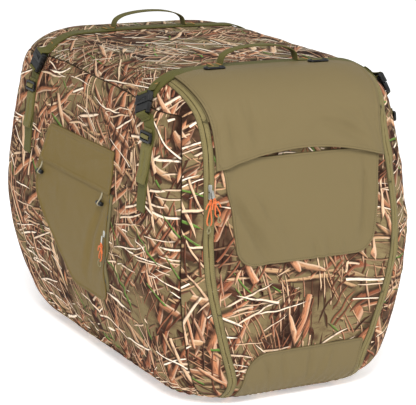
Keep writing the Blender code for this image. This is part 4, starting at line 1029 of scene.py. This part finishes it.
def zip_tape(name, sign, *cuts):
    """One tape of the zip, outside (sign 1) or inside (sign -1) the doorway's edge, with a rib along it."""
    beside = lambda d: door_side(d) * sign
    clear_of_strap = lambda d: before_strap(d) + STRAP_WIDTH / 2 + 0.001
    cloth = pick(FRONT & ON_SIDE[name], clear_of_strap, above(TAPE_LOW_Z), *cuts,
                 lambda d: ZIP_GAP - beside(d), lambda d: beside(d) - ZIP_GAP - TAPE_WIDTH)
    data, faces = sewn(cloth, GAP, lines=(0.0012, 0.0030, 0.0045),
                       ignore=lambda d: np.abs(door_side(d)) < ZIP_GAP + 0.0003)
    across = (beside(data) - ZIP_GAP) / TAPE_WIDTH
    data[:, OUT] += 0.0008 * np.exp(-((across - 0.24) / 0.15) ** 2) - 0.0010 * smooth(0.10, 0.0, across)
    return data, faces


def make_zips():
    for _, name in SIDE_NAMES:
        cloth_piece(name + "_tape", zip_tape(name, 1), TAPE, "zip_tape", "cover", [name + "_zip_tape"],
                    flat=(TAPE_WIDTH + 0.002, 0.70), held="stretched", rests_on=[name + "_surround"])


def arch(x):
    """Height of the weather flap's arched hem."""
    reach = float(door_half(FLAP_HEM_TOP - FLAP_HEM_SAG)) - FLAP_INSET
    return FLAP_HEM_TOP - FLAP_HEM_SAG * (x / reach) ** 2


def make_door():
    """The weather flap with the lip above it, the door's three spans and the two patches sewn on them."""
    def tapes(*cuts):
        return [(*zip_tape(name, -1, *cuts), TAPE, TAPE) for _, name in SIDE_NAMES]

    def hem_lift(d):
        wave = 0.75 + 0.5 * lattice(d[:, :3] / 0.05, 21)
        near = smooth(0.045, 0.0, d[:, Z] - arch(d[:, X]))
        return 0.0026 + 0.0062 * wave * near * smooth(0.185, 0.165, np.abs(d[:, X]))

    lip = quilted(pick(FRONT, before_strap, in_doorway, above(LIP_LOW_Z)),
                  lambda d: at_door_edge(d) | (np.abs(d[:, Z] - LIP_LOW_Z) < 0.009))
    meets_strap = lambda d: before_strap(d) + STRAP_WIDTH / 2 + 0.0003
    flap = pick(FRONT, meets_strap, lambda d: door_side(d, FLAP_INSET), lambda d: arch(d[:, X]) - d[:, Z])
    flap = sewn(flap, hem_lift, 0.0018, 0.0010, 0.009, ignore=lambda d: np.abs(meets_strap(d)) < 0.001)
    cloth_piece("weather_flap", lip, OLIVE, "olive_nylon", DOOR_BLEND, ["door_lip", "door_weather_flap"],
                tapes(above(LIP_LOW_Z + 0.0002)) + [(*flap, OLIVE, OLIVE)], fill=0.1)

    for name, low, high, motion, node in (
            ("door_top", DOOR_CUTS[0], LIP_LOW_Z, DOOR_BLEND, "upper"),
            ("door_centre", DOOR_CUTS[1], DOOR_CUTS[0], FOLD_BLENDS[0], "middle"),
            ("door_foot", -0.1, DOOR_CUTS[1], FOLD_BLENDS[1], "lower")):
        data, faces = pick(DOORWAY, in_doorway, above(low), below(high))
        data[:, EDGE], data[:, IN] = FAR, -PANEL
        cloth_piece(name, (data, faces), CAMO_DOOR, "camo_shell", motion, ["door_" + node + "_panel"],
                    tapes(above(low), below(high)), fill=0.15)

    top = FLAP_HEM_TOP - FLAP_HEM_SAG + PATCH_TUCK
    front = [(PATCH_HALF_TOP, top, 0), (-PATCH_HALF_TOP, top, 0)]
    front += [(side * PATCH_HALF_BOTTOM, PATCH_BOTTOM, PATCH_CORNER) for side in (-1, 1)]
    kick = [(-KICK_LEFT, KICK_BOTTOM, 0), (-KICK_LEFT + 0.018, KICK_TOP, KICK_CORNER)]
    kick += [(float(door_half(z)) - KICK_INSET, z, r) for z, r in ((KICK_TOP, 0.006), (KICK_BOTTOM, 0))]
    for name, corners, motion, flat, under, area in (
            ("front_patch", front, FOLD_BLENDS[0], (0.346, 0.205), ["door_top", "door_centre"], 0.064),
            ("kick_patch", kick, FOLD_BLENDS[1], (0.270, 0.095), ["door_foot"], 0.0235)):
        patch = sewn(pick(DOORWAY, within(rounded(corners), X)), GAP, 0.0020, 0.0006, 0.005)
        cloth_piece(name, patch, OLIVE, "olive_nylon", motion, ["door_" + name],
                    flat=flat, held="stretched", rests_on=under, area=area)


def window_front_y(d):
    """Y of the window's front edge at the points' heights."""
    share = (HEM_LINE_Z - d[:, Z]) / (HEM_LINE_Z - FLAP_BOTTOM_Z)
    return WINDOW_FRONT_Y + (FLAP_TOE_Y - WINDOW_FRONT_Y) * share


def make_windows():
    """Each window's band, hinged flap, screen and front zip."""
    band_lift = lambda d: GAP + 0.0020 * smooth(0.395, 0.377, d[:, Z])
    flap_lift = lambda d: GAP + 0.0002 + 0.0018 * lattice(d[:, :3] / 0.09, 31) * smooth(0.36, 0.30, d[:, Z])
    for _, name in SIDE_NAMES:
        here = WALLS & NEAR_SIDE & ON_SIDE[name]
        under = [name + "_side"]
        band = sewn(pick(here, within(band_outline())), band_lift, 0.0017, 0.0008, 0.010)
        cloth_piece(name + "_band", band, OLIVE_SHADED, "olive_nylon", "cover", [name + "_window_band"],
                    flat=(0.330, 0.085), held="stretched", rests_on=under)
        flap = sewn(pick(here, within(window_outline())), flap_lift, 0.0017, 0.0009, 0.006,
                    ignore=lambda d: d[:, Z] > HEM_LINE_Z - 0.0005)
        motion = ("cover", name + "_flap", (0.0, 0.0, 0.374), (0.0, 0.0, 0.348))
        cloth_piece(name + "_flap", flap, OLIVE_SHADED, "olive_nylon", motion, [name + "_window_flap"],
                    flat=(0.350, 0.230), held="hung", rests_on=under, area=0.0645)
        screen = cloth_edges(pick(here, within(window_outline(WINDOW_LAP - SCREEN_LAP))))
        screen[0][:, OUT] = -PANEL - GAP - 0.002 * lattice(screen[0][:, :3] / 0.07, 41)
        screen[0][:, IN] = screen[0][:, OUT] - 0.0009
        cloth_piece(name + "_screen", screen, SCREEN, "screen_mesh", "cover", [name + "_window_screen"],
                    flat=(0.320, 0.205), held="stretched", rests_on=under, area=0.056)
        tape, coil = (sewn(pick(here, above(0.172), below(HEM_LINE_Z - 0.0005),
                                lambda d: window_front_y(d) + low - d[:, Y],
                                lambda d: d[:, Y] - window_front_y(d) - high), GAP, thick)
                      for low, high, thick in ((-0.0105, 0.001, 0.0014), (-0.0016, 0.0006, 0.0030)))
        cloth_piece(name + "_window_zip", tape, TAPE, "zip_tape", "cover", (), [(*coil, COIL, COIL)],
                    flat=(0.0115, 0.205), held="stretched", rests_on=under)


def make_elastic():
    """The gathered elastic inside the turned hem, round the sides and the rear."""
    data, faces = cloth_edges(joined_behind(pick((FACE_T < T_HEM + 0.012) & (FACE_Q > 1.55),
                                                 lambda d: 0.001 - d[:, T])))
    data[:, OUT] = -PANEL - GAP - 0.0006 * (1 + np.cos(data[:, U] * TURN / 0.012))
    data[:, IN] = data[:, OUT] - 0.0022
    cloth_piece("hem_band", (data, faces), ELASTIC, "elastic", "cover", ["hem_elastic"],
                flat=(2.1, 0.022), held="gathered", rests_on=["left_side", "right_side", "rear"])


def make_straps():
    """The two roof straps, the four side straps and their loose tails."""
    for end in ("front", "rear"):
        near = lambda d: np.abs(d[:, Y] - strap_y(end, d[:, X])) - STRAP_WIDTH / 2
        down = lambda d: np.abs(d[:, Y] - side_strap_y(end, d[:, Z])) - STRAP_WIDTH / 2
        strap = pick(FACE_T > T_SEAM - 0.02, near, above(ROOF_STRAP_END_Z))
        strap = sewn(strap, lambda d: 0.0004 - d[:, OUT], 0.0024)
        cloth_piece(end + "_strap", strap, WEB_ACROSS, "webbing", "cover", [end + "_roof_strap"], plan=True,
                    flat=(STRAP_WIDTH, 0.50), held="stretched", rests_on=["roof"])
        for _, name in SIDE_NAMES:
            word = end + "_" + name
            here = LOW & NEAR_SIDE & ON_SIDE[name]
            strap = pick(here, down, above(SIDE_STRAP_END_Z), below(SIDE_STRAP_TOP_Z))
            strap = sewn(strap, lambda d: -d[:, OUT] - 0.0008, 0.0022)
            cloth_piece(word + "_webbing", strap, WEB_DOWN, "webbing", "cover", [word + "_side_strap"],
                        flat=(STRAP_WIDTH, 0.185), held="stretched", rests_on=[name + "_side"])
            tail = lambda d: 0.0016 - d[:, OUT] + 0.0034 * smooth(TAIL_LOW + 0.032, TAIL_LOW, d[:, Z])
            strap = sewn(pick(here, down, above(TAIL_LOW), below(TAIL_HIGH)), tail, 0.0020, 0.0012, 0.012)
            cloth_piece(word + "_tail", strap, WEB_TAIL, "webbing", body_of(word + "_strap_adjuster"), (),
                        flat=(STRAP_WIDTH, TAIL_HIGH - TAIL_LOW), held="hung", rests_on=[word + "_webbing"])


# ---------------------------------------------------------------- swept and moulded pieces


def body_of(node):
    return frame["nodes"][node]["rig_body"]


def circle(radius, steps=8):
    return [(radius * math.cos(TURN * i / steps), radius * math.sin(TURN * i / steps)) for i in range(steps)]


def ribbon(width, thick):
    """Section of a strap, with rounded edges and enough points across to take a weave."""
    half, side = width / 2, thick / 2
    across = [half - side] + [half * k for k in (0.6, 0.2, -0.2, -0.6)] + [side - half]
    ends = [(-half + side * 0.3, side * 0.7), (-half, 0.0), (-half + side * 0.3, -side * 0.7)]
    return [(a, side) for a in across] + ends + [(-a, -side) for a in across] + [(-a, -b) for a, b in ends]


def through(points, steps=4, closed=False):
    """A smooth curve through given points."""
    p = np.array(points, float)
    count = len(p)
    if closed:
        p = np.vstack([p[-1:], p, p[:2]])
    else:
        p = np.vstack([p[0] * 2 - p[1], p, p[-1] * 2 - p[-2]])
    made = []
    for i in range(1, count + closed):
        a, b, c, d = p[i - 1:i + 3]
        for t in np.arange(steps) / steps:
            made.append(0.5 * (2 * b + (c - a) * t + (2 * a - 5 * b + 4 * c - d) * t * t
                               + (3 * b - a - 3 * c + d) * t ** 3))
    return np.array(made if closed else made + [p[count]])


def rings(count, wide, closed=False):
    """Faces between rings of points, and the two ends' where the rings don't meet."""
    faces = [(i * wide + j, i * wide + (j + 1) % wide, (i + 1) % count * wide + (j + 1) % wide,
              (i + 1) % count * wide + j) for i in range(count if closed else count - 1) for j in range(wide)]
    ends = [tuple(reversed(range(wide))), tuple(range((count - 1) * wide, count * wide))]
    return faces if closed else faces + ends


def sweep(path, section, side=None, closed=False, scale=None):
    """(vertices, faces, uv, distance to the edge) of a section carried along a path.

    The section's first axis keeps to the side direction, or is carried along without twist.
    """
    path, section = np.array(path, float), np.array(section, float)
    count, wide = len(path), len(section)
    ahead = np.roll(path, -1, 0) - np.roll(path, 1, 0)
    if not closed:
        ahead[0], ahead[-1] = path[1] - path[0], path[-1] - path[-2]
    ahead /= np.linalg.norm(ahead, axis=1)[:, None]
    across = np.array(side or np.cross(ahead[0], (0.31, 0.17, 0.93)), float)
    vertices = []
    for i in range(count):
        across = across - ahead[i] * (across @ ahead[i])
        across /= np.linalg.norm(across)
        up = np.cross(across, ahead[i])
        size = scale[i] if scale else 1.0
        vertices.append(path[i] + size * (section[:, :1] * across + section[:, 1:] * up))
        if side:
            across = np.array(side, float)
    steps = np.linalg.norm(np.roll(path, -1, 0) - path, axis=1)
    along = np.concatenate([[0.0], np.cumsum(steps)[:-1]])
    girth = section[:, 0] - section[:, 0].min() if side else np.arange(wide) / wide
    uv = np.stack([np.tile(girth, count), np.repeat(along, wide)], -1)
    edge = np.tile(np.abs(section[:, 0]).max() - np.abs(section[:, 0]), count)
    return np.concatenate(vertices), rings(count, wide, closed), uv, edge


def lathe(profile, steps=20):
    """(vertices, faces, uv, edge) of a profile of (distance along Y, radius) turned round Y."""
    points = np.array([(r * math.cos(t), y, r * math.sin(t)) for y, r in profile
                       for t in np.arange(steps) * TURN / steps])
    uv = np.stack([np.tile(np.arange(steps) / steps, len(profile)), points[:, 1]], -1)
    return points, rings(len(profile), steps), uv, np.full(len(points), FAR)


def moved(part, matrix):
    """A swept part put in place by a matrix."""
    return (np.array([matrix @ Vector(v) for v in part[0]]), *part[1:])


def assemble(name, parts, motion, nodes=(), sharp=50):
    """A piece of swept parts. parts: ((vertices, faces, uv, edge), material)."""
    vertices, uvs, edges = ([part[k] for part, _ in parts] for k in (0, 2, 3))
    materials = list(dict.fromkeys(finish for _, finish in parts))
    faces, slots, base = [], [], 0
    for (points, polygons, _, _), finish in parts:
        faces += [tuple(base + i for i in f) for f in polygons]
        slots += [materials.index(finish)] * len(polygons)
        base += len(points)
    made = new_mesh(name, np.vstack(vertices), faces, materials, slots, np.vstack(uvs), np.concatenate(edges),
                    sharp)
    work = bmesh.new()
    work.from_mesh(made.data)
    bmesh.ops.recalc_face_normals(work, faces=work.faces)
    work.to_mesh(made.data)
    work.free()
    set_piece(made, motion, nodes)


def moulded(node, name, finish, width=MOULDED_ROUND):
    """The CAD node's shape with its edges rounded as a moulded or cast piece has them."""
    work = bmesh.new()
    work.from_mesh(frame["nodes"][node].data)
    bmesh.ops.remove_doubles(work, verts=work.verts, dist=0.00001)
    bmesh.ops.dissolve_limit(work, angle_limit=math.radians(2), verts=work.verts, edges=work.edges)
    corners = [e for e in work.edges if e.is_manifold and e.calc_face_angle() > math.radians(40)]
    bmesh.ops.bevel(work, geom=corners, offset=width, segments=2, profile=0.6, affect="EDGES",
                    clamp_overlap=True)
    bmesh.ops.triangulate(work, faces=[f for f in work.faces if len(f.verts) > 4])
    mesh = bpy.data.meshes.new(name)
    work.to_mesh(mesh)
    work.free()
    mesh.materials.clear()
    mesh.materials.append(finish)
    mesh.polygons.foreach_set("material_index", [0] * len(mesh.polygons))
    mesh.shade_smooth()
    mesh.set_sharp_from_angle(angle=math.radians(45))
    set_piece(show(name, mesh), body_of(node), [node])


def bar_tack(matrix, length, width=0.0024):
    """A row of tight zigzag stitches along the matrix's X."""
    turns = int(length / 0.0009)
    path = [(length * (i / turns - 0.5), (0.5 - i % 2) * width, 0.0) for i in range(turns + 1)]
    return moved(sweep(path, circle(THREAD_RADIUS, 6), (0, 0, 1)), matrix), THREAD


# ---------------------------------------------------------------- hardware


def wall_x(z):
    """Distance of the side wall from the middle at height z."""
    rise = min(1.0, max(0.0, (z - SEAM_Z) / TOP_ROUND))
    return WIDTH / 2 - float(lean(z, SIDE_LEAN)) - TOP_ROUND * (1 - math.cos(math.asin(rise)))


def side_frame(side, z, y, tilt=0):
    """Matrix of a piece on a side wall: X along the wall, Y up it, Z outwards."""
    step = 0.004
    up = Vector((side * (wall_x(z + step) - wall_x(z - step)), 0.0, 2 * step)).normalized()
    out = Vector((side * up.z, 0.0, -side * up.x)).normalized()
    along = up.cross(out)
    turn = math.radians(-tilt if along.y > 0 else tilt)
    place = Vector((side * wall_x(z), y, z)) + out * HARDWARE_LIFT
    return from_axes(along, up, out, place) @ Matrix.Rotation(turn, 4, "Z")


def under_buckle(y):
    """Height of the cloth below a buckle at a distance y above its middle, in the buckle's frame."""
    bend = max(y, SEAM_Z - BUCKLE_Z)
    return -HARDWARE_LIFT - bend * bend / (2 * TOP_ROUND) + (bend - y) * (SEAM_Z - BUCKLE_Z) / TOP_ROUND


# Folds of webbing round the hardware's bars, as (distance up, height) in millimetres.
OVER_SOCKET = ((17.8, -3.5), (17.7, 4.0), (18.2, 9.8), (19.9, 11.3), (21.8, 9.8), (23.2, 4.5))
OVER_PLUG = ((-23.4, 3.5), (-22.2, 7.8), (-20.2, 9.2), (-18.0, 8.0), (-17.2, 3.0), (-17.6, -1.0))
OVER_ADJUSTER = ((16, -0.4), (7.8, -0.3), (4.2, 2), (2.2, 5.4), (-2.2, 5.4), (-4.2, 2), (-7.8, -0.3),
                 (-16, -0.4))


def make_buckles():
    """Buckles in two halves and strap adjusters, with the webbing's folds round their bars."""
    def on_cloth(heights, lift):
        return [(y, under_buckle(y) + lift) for y in mm(heights)]

    def strap_fold(name, points, matrix, finish, motion, more=(), thick=0.0015):
        line = through([(0.0, y, z) for y, z in points])
        strap = sweep(line, ribbon(STRAP_WIDTH - 0.002, thick), (1, 0, 0))
        assemble(name, [(moved(strap, matrix), finish), *more], motion)

    rib = sweep(mm([(-12, 9.5, 10.3), (12, 9.5, 10.3)]), ribbon(0.0020, 0.0011), (0, 1, 0))
    crown = through([(x, 0.0045 + 0.0028 * math.cos(x * 130), 0.0102) for x in mm((-12, -6, 0, 6, 12))])
    crown = sweep(crown, circle(0.0008), (0, 0, 1))
    for end in ("front", "rear"):
        for side, name in SIDE_NAMES:
            word = end + "_" + name
            here = side_frame(side, BUCKLE_Z, BUCKLE_Y[end], BUCKLE_TILT[end])
            moulded(word + "_buckle_socket", word + "_socket", BLACK)
            assemble(word + "_socket_ribs", [(moved(rib, here), BLACK), (moved(crown, here), BLACK)],
                     "cover")
            moulded(word + "_buckle_plug", word + "_plug", BLACK)
            tack = bar_tack(here @ Matrix.Translation((0, 0.042, under_buckle(0.042) + 0.0040)), 0.026)
            strap_fold(word + "_upper_fold", [*mm(OVER_SOCKET), *on_cloth((28, 34, 40, 46), 0.0030)], here,
                       WEB_DOWN, "cover", [tack])
            lower = [*on_cloth((-31, -28, -26), 0.0034), *mm(OVER_PLUG), *on_cloth((-22, -26, -30), 0.0018)]
            strap_fold(word + "_lower_fold", lower, here, WEB_DOWN, body_of(word + "_buckle_plug"))
            moulded(word + "_strap_adjuster", word + "_adjuster", BLACK)
            flat = side_frame(side, GLIDE_Z, SIDE_STRAP_Y[end][0] - ORIGIN_Y)
            strap_fold(word + "_adjuster_fold", mm(OVER_ADJUSTER), flat, WEB_TAIL,
                       body_of(word + "_strap_adjuster"), thick=0.0012)


def make_handles():
    """Ribbon handles, each with flat feet sewn to its roof strap and rising in an arch between them."""
    foot, crest, reach = HEIGHT + 0.0040, HEIGHT + HANDLE_HEIGHT - 0.0012, HANDLE_SPAN / 2
    half = [(reach + HANDLE_FOOT * k, foot) for k in (1.0, 0.66, 0.33, 0.06)]
    for angle in math.pi * np.arange(1, 20) / 40:
        half.append((reach * math.cos(angle), foot + (crest - foot) * math.sin(angle) ** 0.62))
    line = half + [(0.0, crest)] + [(-x, z) for x, z in reversed(half)]
    for end in ("front", "rear"):
        path = [(x, float(strap_y(end, x)) + 0.0015 * math.sin(x * 40), z) for x, z in line]
        motion = ("cover", end + "_handle_loop", (0, 0, foot + 0.001), (0, 0, foot + 0.012))
        assemble(end + "_grab_handle", [(sweep(path, ribbon(HANDLE_WIDTH, 0.0024), (0, 1, 0)), WEB_HANDLE)],
                 motion, [end + "_handle"])
        tacks = [bar_tack(Matrix.Translation((side * x, float(strap_y(end, x)), foot + 0.0015))
                          @ Matrix.Rotation(math.pi / 2, 4, "Z"), 0.021)
                 for x in (reach + 0.004, reach + HANDLE_FOOT - 0.002) for side in (-1, 1)]
        assemble(end + "_handle_tacks", tacks, "cover")


def make_clips():
    """Slotted clips, each held by a tab of webbing that comes from under the front strap."""
    half, deep, low = CLIP_WIDTH / 2 - 0.0030, CLIP_LENGTH / 2 - 0.0028, HEIGHT + 0.001
    corners = ((1, 1), (-1, 1), (-1, -1), (1, -1))
    ring = rounded([(x * half, y * deep, 0.0050 - 0.0005 * y) for x, y in corners], 5)
    bow = [0.0012 * (1 - (x / half) ** 2) * (y < 0) for x, y in ring]
    path = [(x, y - lift * 1.5, lift) for (x, y), lift in zip(ring, bow)]
    section = rounded([(x * 0.0026, y * 0.0031, 0.0014) for x, y in corners], 3)
    loop = mm(((13, -0.6), (4, -0.5), (-3, -0.6), (-7, 1), (-7.4, 4.6), (-5, 6.4), (0, 6.2), (3.5, 3.6),
               (9, 2.2)))
    for side, name in SIDE_NAMES:
        node = name + "_roof_clip"
        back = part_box(node)[1].y
        hinge = Matrix.Translation((side * CLIP_X, back, low + CLIP_LIFT))
        tilt = Matrix.Rotation(math.radians(CLIP_TILT), 4, "X")
        place = hinge @ tilt @ Matrix.Translation((0, -CLIP_LENGTH / 2, 0))
        assemble(name + "_clip_ring", [(moved(sweep(path, section, closed=True), place), BLACK)],
                 body_of(node), [node])
        tab = through([(side * CLIP_X, back + y, low + z) for y, z in loop])
        tab = sweep(tab, ribbon(0.024, 0.0014), (1, 0, 0))
        assemble(name + "_clip_tab", [(tab, WEB_TAIL)], "cover")


def node_frame(node):
    """Matrix at the top of a flat hanging node: X across it, Y up it, Z outwards."""
    p = np.array([v.co for v in frame["nodes"][node].data.vertices])
    middle = (p.min(0) + p.max(0)) / 2
    out, _, up = np.linalg.eigh(np.cov((p - middle).T))[1].T
    up = up if up[2] > 0 else -up
    out = out if out @ (middle * (1, 1, 0)) > 0 else -out
    return from_axes(np.cross(up, out), up, out, middle + up * ((p - middle) @ up).max())


def make_slider(node, name):
    moulded(node, name, ZIP_METAL, SLIDER_ROUND)


def make_pull(node, name, wide, length, upright=0.0):
    """A zip's pull: a metal tab, a knotted orange cord, and an olive loop through the cord's end."""
    here = node_frame(node)
    here = here @ Matrix.Rotation(-upright * math.asin(here.col[0].z), 4, "Z")
    tab = sweep([(0, y, 0) for y in mm((-0.4, -1.2, -3, -13, -16, -17))], ribbon(0.0052, 0.0013), (1, 0, 0),
                scale=(0.5, 0.8, 0.9, 1, 1, 0.7))
    eye = through(mm([(-1, -24, 0), (-2.2, -20, 0), (0, -15.5, 1.2), (2.2, -20, 0), (1, -24, 0)]), 5)
    turns = np.linspace(0, 4 * math.pi, 25)
    fall = -0.0205 - 0.0048 * turns / turns[-1]
    knot = np.stack([0.0026 * np.cos(turns), fall, 0.0021 * np.sin(turns)], -1)
    top, low = -0.0250, -length * 0.80
    middle, end = top * 0.5 + low * 0.5, low * 0.4 - length * 0.6
    loop = through([(0.0004, top, 0.0), (-wide * 0.7, middle, 0.0004), (-wide, low * 0.88, 0.0),
                    (-wide * 0.5, low * 0.99, -0.0004), (wide * 0.5, low * 0.99, 0.0004),
                    (wide, low * 0.88, 0.0), (wide * 0.7, middle, -0.0004), (-0.0004, top, 0.0)], 6)
    tails = [through(mm([(k, -25, 1.2), (5 * k, -23, 2.2), (7.8 * k, -28, 1.8), (9.2 * k, -34, 1)]))
             for k in (-1, 1)]
    olive = through([(0.0, low * 0.95, 0.0026), (-wide * 0.7, end, 0.0014), (0.0, 0.0013 - length, 0.0),
                     (wide * 0.7, end, -0.0008), (0.0, low * 0.95, -0.0012)], 6, closed=True)
    cord = circle(CORD_RADIUS)
    parts = [(tab, ZIP_METAL), *((sweep(path, cord), ORANGE) for path in (eye, knot, loop, *tails)),
             (sweep(olive, cord, closed=True), CORD_OLIVE)]
    parts = [(moved(part, here), finish) for part, finish in parts]
    assemble(name, parts, body_of(node), [node], 60)


# Half of a barrel toggle, as (distance along, radius) in millimetres, from its end to its middle.
BARREL = ((-11, 1.6), (-11, 3.2), (-10.3, 4.1), (-8.8, 4.5), (-6.6, 4.5), (-6.2, 4), (-5.4, 4), (-5, 4.5),
          (-3, 4.5), (-2.4, 3.9))
# One strand of a toggle's elastic, in millimetres from the barrel's middle: outwards, apart and up.
STRAND = ((-3.5, 1.4, 12), (1, 1, 5.2), (5, 0.8, -0.4), (1, 0.6, -5.1), (-4, 0.6, -3))


def make_toggle(side, node, name):
    """A barrel toggle and the loop of elastic that goes through it."""
    low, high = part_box(node)
    middle = (low + high) / 2
    barrel = lathe(mm(BARREL + tuple((-y, r) for y, r in reversed(BARREL))))
    barrel = [(moved(barrel, Matrix.Translation(middle)), BLACK)]
    assemble(name, barrel, body_of(node), [node], 35)
    top = (-6.2, 1.6, (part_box(node + "_loop")[1].z + 0.001 - middle.z) * 1000)
    strands = [(sweep(through([middle + Vector(mm((side * x, k * y, z))) for x, y, z in (top, *STRAND)]),
                      circle(ELASTIC_RADIUS)), ELASTIC_PALE) for k in (-1, 1)]
    assemble(node + "_elastic", strands, body_of(node + "_loop"), [node + "_loop"], 60)


def make_window_hardware():
    for side, name in SIDE_NAMES:
        make_pull(name + "_flap_zip_pull", name + "_flap_pull_cord", 0.0052, 0.066)
        make_slider(name + "_flap_zip_slider", name + "_flap_slider_cast")
        for end in ("front", "rear"):
            make_toggle(side, name + "_" + end + "_toggle", name + "_" + end + "_barrel")


def make_door_hardware():
    for word, length in (("door_upper", 0.062), ("door_lower", 0.078)):
        make_slider(word + "_zip_slider", word + "_slider_cast")
        make_pull(word + "_zip_pull", word + "_pull_cord", 0.0050, length, 0.5)


make_panels()
make_zips()
make_door()
make_windows()
make_elastic()
make_straps()
make_buckles()
make_handles()
make_clips()
make_window_hardware()
make_door_hardware()
